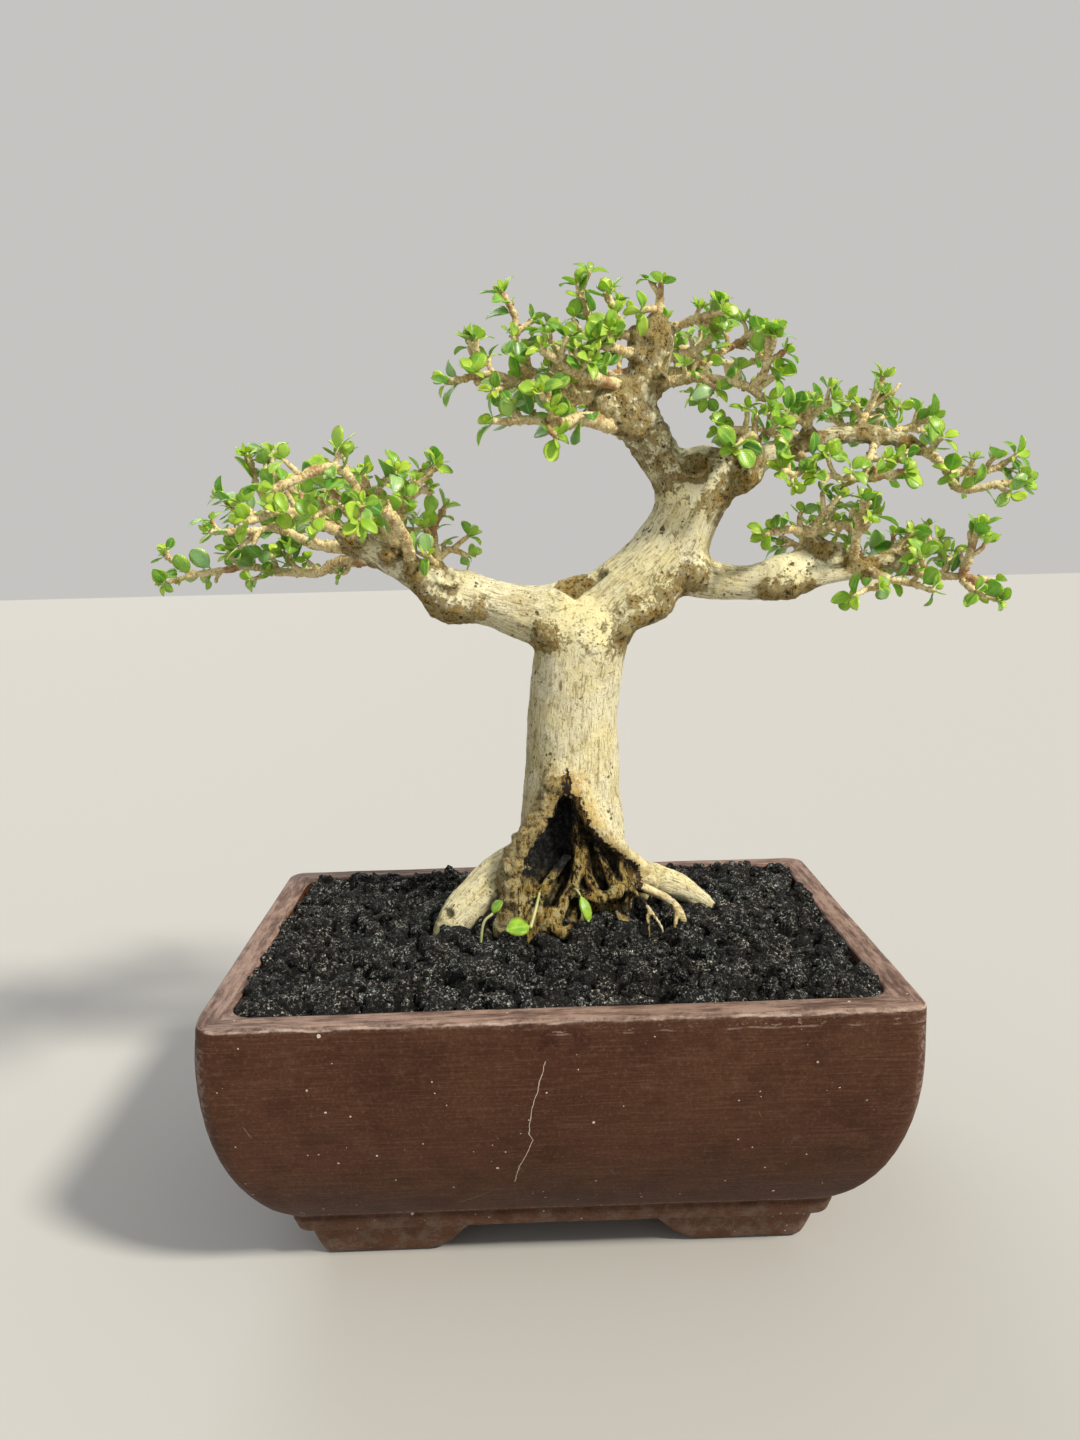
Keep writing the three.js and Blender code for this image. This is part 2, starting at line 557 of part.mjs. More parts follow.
// The trunk with its hollow, the roots, the wound's lips and every limb that is thicker than a twig.
function woodSolid(grow) {
  const round = (rows, sides, index) => limbSolid(rows, sides, grow, limbRoughness, index + 1);
  const trunk = limbSolid(trunkRows, 14, grow, limbRoughness / 2, 3);
  const shape = new THREE.Shape(hollowOutline.map(([x, z]) => new THREE.Vector2(x, z)));
  const cut = new THREE.ExtrudeGeometry(shape, { depth: 40, bevelEnabled: false });
  cut.rotateX(Math.PI / 2);
  cut.translate(0, hollowBack, 0);
  const pieces = [grow > 0 ? trunk : trunk.subtract(solidOf(cut))];
  Object.values(limbs).forEach((rows, index) => pieces.push(round(rows, 9, index)));
  Object.values(roots).forEach((rows, index) => pieces.push(round(rows, rows[0][3] > 5 ? 6 : 4, index + 20)));
  Object.values(woundLips).forEach((rows, index) => pieces.push(round(rows, 4, index + 40)));
  return wasm.Manifold.union(pieces);
}

// Where a twig's rings and leaves go. A pair of leaves grows from two opposite faces between close rings,
// each pair crossed to the last, and on the stem itself one more leaf grows from the end.
function planTwig([from, to, ...places], isStem, random) {
  const points = places.map((place) => new THREE.Vector3(...place));
  const reach = [0];
  for (let row = 1; row < points.length; row += 1) {
    reach.push(reach[row - 1] + points[row].distanceTo(points[row - 1]));
  }
  const length = reach[reach.length - 1];
  const pairs = [length - budHeight / 2];
  for (let back = pairSpacing; back < length * leafyShare; back += pairSpacing) pairs.push(length - back);
  const budRings = pairs.flatMap((pair) => [pair - budHeight / 2, pair + budHeight / 2]);
  const plain = reach.filter((distance) => budRings.every((ring) => Math.abs(ring - distance) > budHeight));
  const distances = [...plain, ...budRings].sort((one, other) => one - other);
  const turn = random() * Math.PI;
  const side = offAxis.clone();
  const rings = distances.map((distance) => {
    const row = Math.min(Math.max(reach.findIndex((end) => end >= distance - 0.001), 1), points.length - 1);
    const within = (distance - reach[row - 1]) / (reach[row] - reach[row - 1]);
    const axis = points[row].clone().sub(points[row - 1]).normalize();
    if (within > 0.999 && row < points.length - 1) {
      axis.add(points[row + 1].clone().sub(points[row]).normalize()).normalize();
    }
    side.addScaledVector(axis, -side.dot(axis)).normalize();
    return {
      distance,
      middle: points[row - 1].clone().lerp(points[row], within),
      axis,
      side: side.clone().applyAxisAngle(axis, turn),
      radius: THREE.MathUtils.lerp(from, to, distance / length),
    };
  });
  const leaves = pairs.flatMap((pair, order) => {
    const level = rings.findIndex((ring) => Math.abs(ring.distance - pair + budHeight / 2) < 0.001);
    const size = THREE.MathUtils.lerp(leafLength.least, leafLength.most, random());
    const splay = 0.75 + 0.35 * random();
    return [0, 2].map((face) => ({
      level,
      face: face + order % 2,
      size: size * (0.85 + 0.15 * random()),
      splay,
    }));
  });
  const youngSize = leafLength.least * (0.8 + 0.4 * random());
  if (isStem) leaves.push({ level: rings.length - 1, face: endFace, size: youngSize, splay: 0.25 });
  return { rings, leaves };
}

function ringCorners({ middle, axis, side, radius }, grow) {
  return [0, 1, 2, 3].map((corner) => {
    const reach = radius * squareSwell + grow * Math.SQRT2;
    return side.clone().applyAxisAngle(axis, corner * Math.PI / 2).multiplyScalar(reach).add(middle);
  });
}

// Turns a leaf's place on its twig into the blade's frame: it leans out from the twig and faces the sky.
function leafFrame(plan, { level, face, size, splay }, extraLean) {
  const ring = plan.rings[level];
  const outward = ring.side.clone().applyAxisAngle(ring.axis, (face + 0.5) * Math.PI / 2);
  const foot = ring.middle.clone();
  if (face !== endFace) {
    foot.addScaledVector(ring.axis, budHeight / 2).addScaledVector(outward, ring.radius * 0.7);
  }
  const lean = splay + extraLean;
  const along = ring.axis.clone().multiplyScalar(Math.cos(lean)).addScaledVector(outward, Math.sin(lean));
  const sky = new THREE.Vector3(0, 0, 1);
  along.addScaledVector(sky, skyPull).normalize();
  const up = sky.multiplyScalar(0.9).addScaledVector(ring.axis, 0.5);
  up.addScaledVector(along, -up.dot(along)).normalize();
  return { foot, along, up, length: size };
}

// A blade is drawn out from its foot to two rings of four corners, across its broadest part and at its tip.
function bladeRings({ foot, along, up, length }, grow) {
  const across = up.clone().cross(along);
  const sections = [[0.6, 1, 0.05], [1, 0.36, -0.06]];
  return sections.map(([share, breadth, lift]) => {
    const middle = foot.clone().addScaledVector(along, share * length).addScaledVector(up, lift * length);
    const half = breadth * leafWidthShare * length / 2 + grow;
    const thick = bladeThickness / 2 + grow;
    return [[-1, -1], [1, -1], [1, 1], [-1, 1]].map(([sign, level]) => middle.clone()
      .addScaledVector(across, sign * half)
      .addScaledVector(up, level * thick));
  });
}

function middleOf(corners) {
  return corners.reduce((sum, corner) => sum.add(corner), new THREE.Vector3()).multiplyScalar(1 / corners.length);
}

// Starts a ring at the corner that lies most in line with the last ring's first, so that the skin doesn't twist.
function alignRing(ring, last) {
  const [here, there] = [middleOf(ring), middleOf(last)];
  const agreement = (start) => [0, 1].reduce((sum, step) => {
    const reach = ring[(start + step) % 4].clone().sub(here).normalize();
    return sum + reach.dot(last[step].clone().sub(there).normalize());
  }, 0);
  const start = [0, 1, 2, 3].sort((one, other) => agreement(other) - agreement(one))[0];
  return [0, 1, 2, 3].map((corner) => ring[(start + corner) % 4]);
}

// The four corners on the twig that a blade is drawn out from, in order as seen from outside.
function faceCorners(plan, { level, face }, grow) {
  const low = ringCorners(plan.rings[level], grow);
  if (face === endFace) return low;
  const high = ringCorners(plan.rings[level + 1], grow);
  const next = (face + 1) % 4;
  return [low[face], low[next], high[next], high[face]];
}

function drawnRings(base, frame, grow) {
  const rings = [base];
  for (const ring of bladeRings(frame, grow)) rings.push(alignRing(ring, rings[rings.length - 1]));
  return rings;
}

// A square-sided twig whose chosen faces are drawn out into blades, all one skin.
function twigSolid(plan, blades, grow) {
  const points = [];
  const faces = [];
  const addRing = (corners) => corners.map((corner) => points.push(corner) - 1);
  const skin = (lower, upper, open = []) => {
    for (let face = 0; face < 4; face += 1) {
      const next = (face + 1) % 4;
      if (open.includes(face)) continue;
      faces.push(lower[face], lower[next], upper[next], lower[face], upper[next], upper[face]);
    }
  };
  const close = ([a, b, c, d]) => faces.push(a, b, c, a, c, d);
  const rings = plan.rings.map((ring) => addRing(ringCorners(ring, grow)));
  const openAt = (level) => blades.filter(({ leaf }) => leaf.level === level).map(({ leaf }) => leaf.face);
  for (let level = 0; level < rings.length - 1; level += 1) {
    skin(rings[level], rings[level + 1], openAt(level));
  }
  const last = rings.length - 1;
  close([...rings[0]].reverse());
  if (!openAt(last).length) close(rings[last]);
  for (const { leaf, frame } of blades) {
    const next = (leaf.face + 1) % 4;
    const [low, high] = [rings[leaf.level], rings[leaf.level + 1]];
    const foot = leaf.face === endFace ? low : [low[leaf.face], low[next], high[next], high[leaf.face]];
    const [, ...further] = drawnRings(foot.map((corner) => points[corner]), frame, grow);
    const drawn = [foot, ...further.map(addRing)];
    drawn.slice(1).forEach((ring, step) => skin(drawn[step], ring));
    close(drawn[drawn.length - 1]);
  }
  const geometry = new THREE.BufferGeometry().setFromPoints(points);
  geometry.setIndex(faces);
  return solidOf(geometry, mergeTolerance);
}

// The space that a blade needs round itself.
function bladeRoom(plan, leaf, frame) {
  const base = faceCorners(plan, leaf, 2 * clearance);
  const middle = middleOf(base);
  const wide = base.map((corner) => corner.clone().sub(middle).multiplyScalar(1.2).add(middle));
  return solidOf(loft(drawnRings(wide, frame, clearance)));
}

function boxesMeet(one, other) {
  const [a, b] = [one.boundingBox(), other.boundingBox()];
  return [0, 1, 2].every((axis) => a.min[axis] < b.max[axis] && b.min[axis] < a.max[axis]);
}

function touches(solid, others) {
  return others.some((other) => boxesMeet(solid, other) && !solid.intersect(other).isEmpty());
}

function largestPiece(solid) {
  return solid.decompose().sort((one, other) => other.volume() - one.volume())[0];
}

// Every leafy stem, cut clear of the wood and of each other, with the leaves that find room grown on it.
// A blade that would touch something leans further in or out, and is left off where that doesn't help.
function makeLeafyStems(woodRoom) {
  const names = Object.keys(leafyStems);
  const plans = names.map((name, index) => {
    const random = seededRun(leafySeed * 100 + index);
    return leafyStems[name].map((twig, order) => planTwig(twig, order === 0, random));
  });
  const rooms = plans.map((twigs) => wasm.Manifold.union(twigs.map((plan) => twigSolid(plan, [], clearance))));
  const taken = names.map(() => []);
  return names.map((name, index) => {
    const otherStems = rooms.filter((room, other) => other !== index);
    const foreign = [woodRoom, ...otherStems, ...taken.slice(0, index).flat()];
    const twigs = plans[index].map((plan) => {
      const blades = [];
      for (const leaf of plan.leaves) {
        const frames = spareLeans.map((lean) => leafFrame(plan, leaf, lean));
        const frame = frames.find((candidate) => !touches(bladeRoom(plan, leaf, candidate), foreign));
        if (frame) blades.push({ leaf, frame });
      }
      taken[index].push(...blades.map(({ leaf, frame }) => bladeRoom(plan, leaf, frame)));
      return twigSolid(plan, blades, 0);
    });
    let stem = wasm.Manifold.union(twigs).subtract(woodRoom);
    for (const room of rooms.slice(0, index)) {
      if (boxesMeet(stem, room)) stem = stem.subtract(room);
    }
    return [name, largestPiece(stem)];
  });
}

// A sprout is a thin stem from the soil that ends in one leaf.
function sproutSolid({ radius, way, leafTip, widthShare }, grow) {
  const rows = way.map((point) => [...point, radius]);
  const foot = new THREE.Vector3(...way[way.length - 1]);
  const along = new THREE.Vector3(...leafTip).sub(foot);
  const length = along.length();
  along.normalize();
  const up = new THREE.Vector3(0, -0.5, 1);
  up.addScaledVector(along, -up.dot(along)).normalize();
  const across = up.clone().cross(along);
  const outline = [[-0.1, 0.14], [0.3, 0.9], [0.7, 0.95], [1, 0.2]].map(([share, breadth]) => {
    const half = breadth * widthShare * length / 2 + grow;
    return [[-1, -1], [1, -1], [1, 1], [-1, 1]].map(([sign, level]) => foot.clone()
      .addScaledVector(along, share * length)
      .addScaledVector(across, sign * half)
      .addScaledVector(up, level * (bladeThickness / 2 + grow)));
  });
  return limbSolid(rows, 4, grow, 0, 1).add(solidOf(loft(outline)));
}

const materials = {
  clay: { color: 0x3b2420, roughness: 0.85, metalness: 0 },
  soil: { color: 0x15130f, roughness: 1, metalness: 0 },
  bark: { color: 0xd8c79a, roughness: 0.8, metalness: 0 },
  foliage: { color: 0x5f9a2a, roughness: 0.5, metalness: 0 },
};

const group = new THREE.Group();
function place(name, solid, material) {
  const mesh = new THREE.Mesh(geometryOf(solid), new THREE.MeshStandardMaterial(materials[material]));
  mesh.name = name;
  group.add(mesh);
}

const woodRoom = woodSolid(clearance);
const sproutRooms = Object.values(sprouts).map((sprout) => sproutSolid(sprout, clearance));
place('pot', makePot(), 'clay');
place('soil', makeSoil(wasm.Manifold.union([woodRoom, ...sproutRooms])), 'soil');
place('trunk_and_limbs', woodSolid(0), 'bark');
Object.entries(sprouts).forEach(([name, sprout]) => place(`sprout_${name}`, sproutSolid(sprout, 0), 'foliage'));
makeLeafyStems(woodRoom).forEach(([name, solid]) => place(`leafy_stem_${name}`, solid, 'foliage'));

group.position.x = -crownOverhang;

export default group;
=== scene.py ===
# %% [markdown]
# # A premna microphylla bonsai in its clay pot
# The tree is a thick pale trunk with a charred hollow at its foot, a few limbs, knobby twigs and about two
# thousand small leaves. The wood is one flowing form, the twigs are tubes with swellings, and the leaves and
# the soil's crumbs are copies of a few small shapes, which Geometry Nodes set in place.

# %% The frame
import json

import bpy
import numpy as np
from mathutils import Matrix, Vector

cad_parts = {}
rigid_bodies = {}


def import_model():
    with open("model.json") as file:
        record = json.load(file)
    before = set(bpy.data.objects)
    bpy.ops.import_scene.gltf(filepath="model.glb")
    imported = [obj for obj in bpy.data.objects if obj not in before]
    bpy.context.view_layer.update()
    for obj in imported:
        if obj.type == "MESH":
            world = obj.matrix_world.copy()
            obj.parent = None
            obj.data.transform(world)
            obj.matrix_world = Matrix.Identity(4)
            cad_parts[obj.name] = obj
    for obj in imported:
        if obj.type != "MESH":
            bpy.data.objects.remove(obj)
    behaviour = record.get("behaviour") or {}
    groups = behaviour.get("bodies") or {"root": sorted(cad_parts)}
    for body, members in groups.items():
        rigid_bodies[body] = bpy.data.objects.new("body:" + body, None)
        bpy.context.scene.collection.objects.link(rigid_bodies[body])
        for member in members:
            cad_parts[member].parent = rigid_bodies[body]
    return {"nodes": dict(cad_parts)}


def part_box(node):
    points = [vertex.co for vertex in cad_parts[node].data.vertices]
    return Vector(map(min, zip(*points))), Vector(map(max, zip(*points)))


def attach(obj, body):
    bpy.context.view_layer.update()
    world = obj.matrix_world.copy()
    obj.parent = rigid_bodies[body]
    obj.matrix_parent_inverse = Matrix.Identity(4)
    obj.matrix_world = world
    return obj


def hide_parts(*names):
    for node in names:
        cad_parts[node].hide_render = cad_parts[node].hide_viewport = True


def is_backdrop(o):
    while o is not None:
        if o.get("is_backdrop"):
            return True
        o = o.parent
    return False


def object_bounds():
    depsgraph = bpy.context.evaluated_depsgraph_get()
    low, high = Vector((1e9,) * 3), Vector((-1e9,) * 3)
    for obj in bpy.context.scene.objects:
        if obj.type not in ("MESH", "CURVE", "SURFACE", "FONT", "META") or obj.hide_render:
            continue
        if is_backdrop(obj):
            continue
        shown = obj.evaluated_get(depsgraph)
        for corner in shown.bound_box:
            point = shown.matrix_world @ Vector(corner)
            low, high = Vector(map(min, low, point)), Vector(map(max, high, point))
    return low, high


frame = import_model()
cad_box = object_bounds()
print("solids:", len(frame["nodes"]), "box:", [tuple(round(v, 4) for v in corner) for corner in cad_box])

# %% [markdown]
# Everything is worked out in millimetres round the middle of the pot's foot, because that is how the tree was
# measured. One function turns those points into the frame's metres, so a mesh never needs its object moved.

# %% Millimetres, meshes and pieces
pot_low, pot_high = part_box("pot")
POT_MIDDLE = np.array([(pot_low.x + pot_high.x) / 2, (pot_low.y + pot_high.y) / 2, 0.0])
MIDDLE_X, MIDDLE_Y, _ = (float(value) for value in POT_MIDDLE)


def placed(points):
    """Millimetres round the pot's middle, as metres in the frame."""
    return np.asarray(points, float) / 1000 + POT_MIDDLE


def make_mesh(name, points, faces):
    """A smooth-shaded mesh."""
    mesh = bpy.data.meshes.new(name)
    mesh.from_pydata(np.asarray(points).tolist(), [], [list(face) for face in faces])
    mesh.polygons.foreach_set("use_smooth", [True] * len(mesh.polygons))
    mesh.update()
    return mesh


def make_piece(name, points, faces, material=None):
    """A mesh object in the scene, made from points in millimetres."""
    mesh = make_mesh(name, placed(points), faces)
    piece = bpy.data.objects.new(name, mesh)
    bpy.context.scene.collection.objects.link(piece)
    if material:
        mesh.materials.append(material)
    return piece


def give(piece, name, values):
    """A named attribute with one number or one vector for each point, which a material can read."""
    values = np.asarray(values, np.float32)
    kind, field = ("FLOAT", "value") if values.ndim == 1 else ("FLOAT_VECTOR", "vector")
    attribute = piece.data.attributes.new(name, kind, "POINT")
    attribute.data.foreach_set(field, values.ravel())


def seat(piece, slot, *nodes):
    """Ties a finished piece to the tree's body, hides the plain solids that it stands for and prints its
    size.
    """
    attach(piece, "root")
    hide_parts(*nodes)
    print(f"{piece.name}: {len(piece.data.vertices)} points, {len(piece.data.polygons)} faces")


# %% [markdown]
# Natural things need noise: lumps of a chosen width that are the same on every run. Blender's textures only
# colour a surface, so the noise that moves points is worked out here, for all points at once. Each corner of
# a grid cell gets a number from its place, and a point takes a smooth mix of its cell's eight corners.

# %% Noise and chance
def lumps(points, width, seed=0):
    """Smooth noise from -1 to 1 at each point, with lumps of about this width."""
    cell = np.asarray(points, float) / width + 31.7 * seed
    low = np.floor(cell).astype(np.int64)
    share = cell - low
    share = share * share * (3 - 2 * share)
    total = np.zeros(len(cell))
    for corner in np.ndindex(2, 2, 2):
        x, y, z = (low + corner).T
        key = (x * 73856093) ^ (y * 19349663) ^ (z * 83492791)
        key = (key ^ (key >> 13)) * 1274126177
        value = ((key ^ (key >> 16)) & 0xFFFF) / 32767.5 - 1
        total += value * np.prod(np.where(corner, share, 1 - share), axis=1)
    return total


def rough(points, width, seed=0, layers=3):
    """Lumps with finer lumps on them."""
    return sum(lumps(points, width / 2**layer, seed + layer) / 1.8**layer for layer in range(layers))


def seeded_run(seed):
    """A function that gives the same run of numbers from 0 to 1 each time."""
    state = seed

    def draw(low=0.0, high=1.0):
        nonlocal state
        state = (state * 1664525 + 1013904223) % 2**32
        return low + (high - low) * state / 2**32

    return draw


def clear_step(value, start, end):
    """0 below start, 1 above end, and a smooth climb between them."""
    share = np.clip((value - start) / (end - start), 0, 1)
    return share * share * (3 - 2 * share)


# %% [markdown]
# A material in Blender is a graph of nodes. Building it by hand takes many clicks, and in a script many
# lines, so a small class adds a node, sets its inputs and links it in one call. Scales are given as the width
# of a feature in millimetres, because that is what a ruler on the real tree would read.

# %% Any graph of nodes
class Graph:
    """A graph of nodes. add makes a node, sets its inputs and links it."""

    prefix = ""

    def put(self, value, socket):
        if isinstance(value, bpy.types.NodeSocket):
            self.tree.links.new(value, socket)
        else:
            socket.default_value = value

    def add(self, kind, inputs=None, **settings):
        node = self.tree.nodes.new(self.prefix + kind)
        for name, value in settings.items():
            setattr(node, name, value)
        for name, value in (inputs or {}).items():
            self.put(value, node.inputs[name])
        return node


# %% A short way to write materials
class Finish(Graph):
    """A material and the calls that build its graph. A call returns an output socket to pass on."""

    prefix = "ShaderNode"

    def __init__(self, name):
        self.material = bpy.data.materials.new(name)
        self.material.use_nodes = True
        self.tree = self.material.node_tree
        self.shader = self.tree.nodes["Principled BSDF"]
        self.place = self.add("TexCoord").outputs["Object"]

    def noise(self, width, where=None, detail=3.0, roughness=0.55, unit=1000.0):
        """Noise with features of this width in millimetres. unit turns the coordinates into millimetres."""
        inputs = {"Vector": where or self.place, "Scale": unit / width}
        inputs |= {"Detail": detail, "Roughness": roughness}
        return self.add("TexNoise", inputs).outputs["Fac"]

    def stretch(self, scale, where=None):
        """Coordinates squeezed along some axes, so that a pattern runs long the other way."""
        return self.add("Mapping", {"Vector": where or self.place, "Scale": scale}).outputs["Vector"]

    def ragged(self, width, amount):
        """Coordinates pushed about by noise, so that straight edges in a pattern become ragged."""
        push = self.add("TexNoise", {"Vector": self.place, "Scale": 1000 / width, "Detail": 3.0})
        inputs = {0: push.outputs["Color"], 1: (amount / 1000,) * 3, 2: self.place}
        return self.add("VectorMath", inputs, operation="MULTIPLY_ADD").outputs[0]

    def spots(self, width, size, where=None):
        """1 inside round spots, one in each cell of this width. size is a share of the cell."""
        cells = self.add("TexVoronoi", {"Vector": where or self.place, "Scale": 1000 / width})
        return self.math("LESS_THAN", cells.outputs["Distance"], size)

    def read(self, name, vector=False):
        """A value that the mesh carries at each point."""
        node = self.add("Attribute", attribute_name=name)
        return node.outputs["Vector" if vector else "Fac"]

    def axes(self, vector=None):
        """The three numbers of a vector, or of the point's place."""
        node = self.add("SeparateXYZ", {"Vector": vector or self.place})
        return [node.outputs[axis] for axis in "XYZ"]

    def ramp(self, value, start, end, low=0.0, high=1.0):
        """Turns a number between start and end into one between low and high, smoothly."""
        inputs = {"Value": value, "From Min": start, "From Max": end, "To Min": low, "To Max": high}
        return self.add("MapRange", inputs, interpolation_type="SMOOTHSTEP").outputs["Result"]

    def math(self, operation, first, second=0.0):
        return self.add("Math", {0: first, 1: second}, operation=operation).outputs[0]

    def times(self, first, *others):
        """All of these multiplied."""
        for other in others:
            first = self.math("MULTIPLY", first, other)
        return first

    def put_colour(self, value, socket):
        self.put(value if isinstance(value, bpy.types.NodeSocket) else (*value, 1.0), socket)

    def mix(self, share, first, second, blend="MIX"):
        """One colour over another, as much as share says."""
        node = self.add("Mix", {0: share}, data_type="RGBA", blend_type=blend)
        self.put_colour(first, node.inputs[6])
        self.put_colour(second, node.inputs[7])
        return node.outputs[2]

    def layers(self, base, *rows, within=None):
        """Colours over a base. A row is a pattern, its start, where it is full, how much, and the colour."""
        for pattern, start, full, most, *colour in rows:
            share = self.ramp(pattern, start, full, 0, most)
            base = self.mix(self.times(share, within) if within else share, base, *colour)
        return base

    def colour(self, value):
        self.put_colour(value, self.shader.inputs["Base Color"])

    def relief(self, height, depth, under=None):
        """Bump from a height between 0 and 1 that stands for this depth in millimetres."""
        node = self.add("Bump", {"Height": height, "Distance": depth / 1000, "Strength": 1.0})
        if under:
            self.put(under, node.inputs["Normal"])
        return node.outputs["Normal"]

    def finish(self, normal=None, **values):
        for name, value in values.items():
            self.put(value, self.shader.inputs[name.replace("_", " ").title().replace("Ior", "IOR")])
        if normal:
            self.put(normal, self.shader.inputs["Normal"])
        return self.material


# %% [markdown]
# The pot is slip-cast or pressed clay: a rounded rectangle whose walls stand plumb below the rim and then
# curve in to a narrow band over four feet. It could be a cube with bevels and a lattice, but a stack of
# rings is closer to how a pot is drawn: one profile, swept round one outline. Each ring is the outline drawn
# in by the profile's inset at that height.

# %% The pot's outline and profile
LENGTH, DEPTH, HEIGHT = 280.0, 194.0, 120.0
RIM_WIDTH = 12.0
WALL_CORNER, CAVITY_CORNER = 7.0, 10.0
PLUMB, BELLY_REACH, BELLY_HEIGHT = 20.0, 44.0, 82.0
BAND_TOP, UNDERSIDE, FLOOR_TOP = 26.0, 16.0, 28.0
CORNER_STEPS, SIDE_STEPS = 6, 28


def outline(half_length, half_depth, radius):
    """Points round a rounded rectangle, counter-clockwise, with many points on its straight sides."""
    ring = []
    for corner, (sign_x, sign_y) in enumerate([(1, 1), (-1, 1), (-1, -1), (1, -1)]):
        for step in range(CORNER_STEPS + 1):
            angle = (corner + step / CORNER_STEPS) * np.pi / 2
            ring.append([sign_x * (half_length - radius) + radius * np.cos(angle),
                         sign_y * (half_depth - radius) + radius * np.sin(angle)])
        following = [(-1, 1), (-1, -1), (1, -1), (1, 1)][corner]
        start = np.array(ring[-1])
        angle = (corner + 1) * np.pi / 2
        end = np.array([following[0] * (half_length - radius) + radius * np.cos(angle),
                        following[1] * (half_depth - radius) + radius * np.sin(angle)])
        for step in range(1, SIDE_STEPS):
            ring.append(start + (end - start) * step / SIDE_STEPS)
    return np.array(ring)


def belly_inset(height):
    """How far the wall has drawn in at a height: plumb at the top, then a quarter of an ellipse."""
    drop = np.maximum(HEIGHT - PLUMB - height, 0)
    return BELLY_REACH * (1 - np.sqrt(1 - (drop / BELLY_HEIGHT) ** 2))


def arc(middle_inset, middle_height, radius, start, end, steps):
    """Profile points round a small rounded edge. Angles are in degrees, 0 pointing outwards."""
    angles = np.radians(np.linspace(start, end, steps))
    return [(middle_inset - radius * np.cos(a), middle_height + radius * np.sin(a)) for a in angles]


def loft(rings):
    """Faces for a stack of equal rings: quads between them and a fan at each end."""
    count = len(rings[0])
    points = [point for ring in rings for point in ring]
    faces = []
    for level in range(len(rings) - 1):
        for side in range(count):
            after = (side + 1) % count
            low, high = level * count, (level + 1) * count
            faces.append((low + side, low + after, high + after, high + side))
    for start, ring, is_first in ((0, rings[0], True), ((len(rings) - 1) * count, rings[-1], False)):
        points.append(np.mean(ring, axis=0))
        for side in range(count):
            pair = (start + side, start + (side + 1) % count)
            faces.append((len(points) - 1, *(pair[::-1] if is_first else pair)))
    return np.array(points), faces


# %% The pot's body
UNDERSIDE_INSET = 34.0


def pot_profile():
    """Inset and height from the middle of the underside, out, up, over the rim and down inside."""
    outside = [(UNDERSIDE_INSET, UNDERSIDE)] + arc(30.6, UNDERSIDE + 3.2, 3.2, -90, -40, 4)
    outside += arc(28.6, 22.0, 1.8, -30, 60, 5) + [(26.6, 24.6)]
    for height in (BAND_TOP, 27.5, 30, 33, 37, 42, 48, 55, 62, 70, 78, 86, 93, 100, 106, 112):
        outside.append((belly_inset(height), height))
    outside += arc(1.8, HEIGHT - 1.8, 1.8, 0, 90, 5)
    inside = [(RIM_WIDTH * 0.5, HEIGHT - 0.3)] + arc(RIM_WIDTH - 1.6, HEIGHT - 1.6, 1.6, 90, 180, 4)
    for height in (110, 100, 86, 70, 54, 42, 34):
        inside.append((RIM_WIDTH + belly_inset(max(height, 34)), height))
    inside.append((RIM_WIDTH + belly_inset(34.0) + 1.5, FLOOR_TOP))
    return outside, inside


outside, inside = pot_profile()
rings = []
for index, (inset, height) in enumerate(outside + inside):
    corner = WALL_CORNER if index < len(outside) else CAVITY_CORNER
    flat = outline(LENGTH / 2 - inset, DEPTH / 2 - inset, corner)
    rings.append(np.column_stack([flat, np.full(len(flat), height)]))
pot_points, pot_faces = loft(rings)
print("pot profile rings:", len(rings))

# %% [markdown]
# The feet carry the weight, so their soles stay flat at the ground. Each is a short stack of rectangles that
# narrows downwards: the outer two sides follow the pot's own draft, and the inner two follow a bracket-like
# curve, so that an arch is left open between neighbours. Four small lofts are simpler and cleaner than one
# block with arches cut out of it.

# %% The feet
FRONT_ARCH = {"top": 34.0, "bottom": 57.0}
SIDE_ARCH = {"top": 14.0, "bottom": 30.0}
FOOT_HEIGHT, FOOT_INSET_TOP, FOOT_INSET_SOLE = 16.6, 32.5, 38.0
FOOT_CORNER = 5.0


def arch_edge(arch, share):
    """How far from the middle the arch stands at this share of the foot's height: an S between its ends."""
    curve = 1 - (1 - share) ** 1.6 if share < 1 else 1.0
    bend = share + 0.35 * np.sin(2 * np.pi * share) / np.pi
    return arch["bottom"] + (arch["top"] - arch["bottom"]) * (0.35 * curve + 0.65 * bend)


def foot_ring(height, sign_x, sign_y, shrink):
    share = height / FOOT_HEIGHT
    inset = FOOT_INSET_SOLE + (FOOT_INSET_TOP - FOOT_INSET_SOLE) * share**0.7
    low = np.array([arch_edge(FRONT_ARCH, share), arch_edge(SIDE_ARCH, share)]) + shrink
    high = np.array([LENGTH / 2 - inset, DEPTH / 2 - inset]) - shrink
    middle, half = (low + high) / 2, (high - low) / 2
    ring = []
    for corner, sign in enumerate([(1, 1), (-1, 1), (-1, -1), (1, -1)]):
        radius = FOOT_CORNER if corner == 0 else 1.6
        for step in range(5):
            angle = (corner + step / 4) * np.pi / 2
            offset = np.array([np.cos(angle), np.sin(angle)])
            ring.append(middle + np.array(sign) * (half - radius) + radius * offset)
    ring = np.array(ring) * [sign_x, sign_y]
    return np.column_stack([ring if sign_x * sign_y > 0 else ring[::-1], np.full(len(ring), height)])


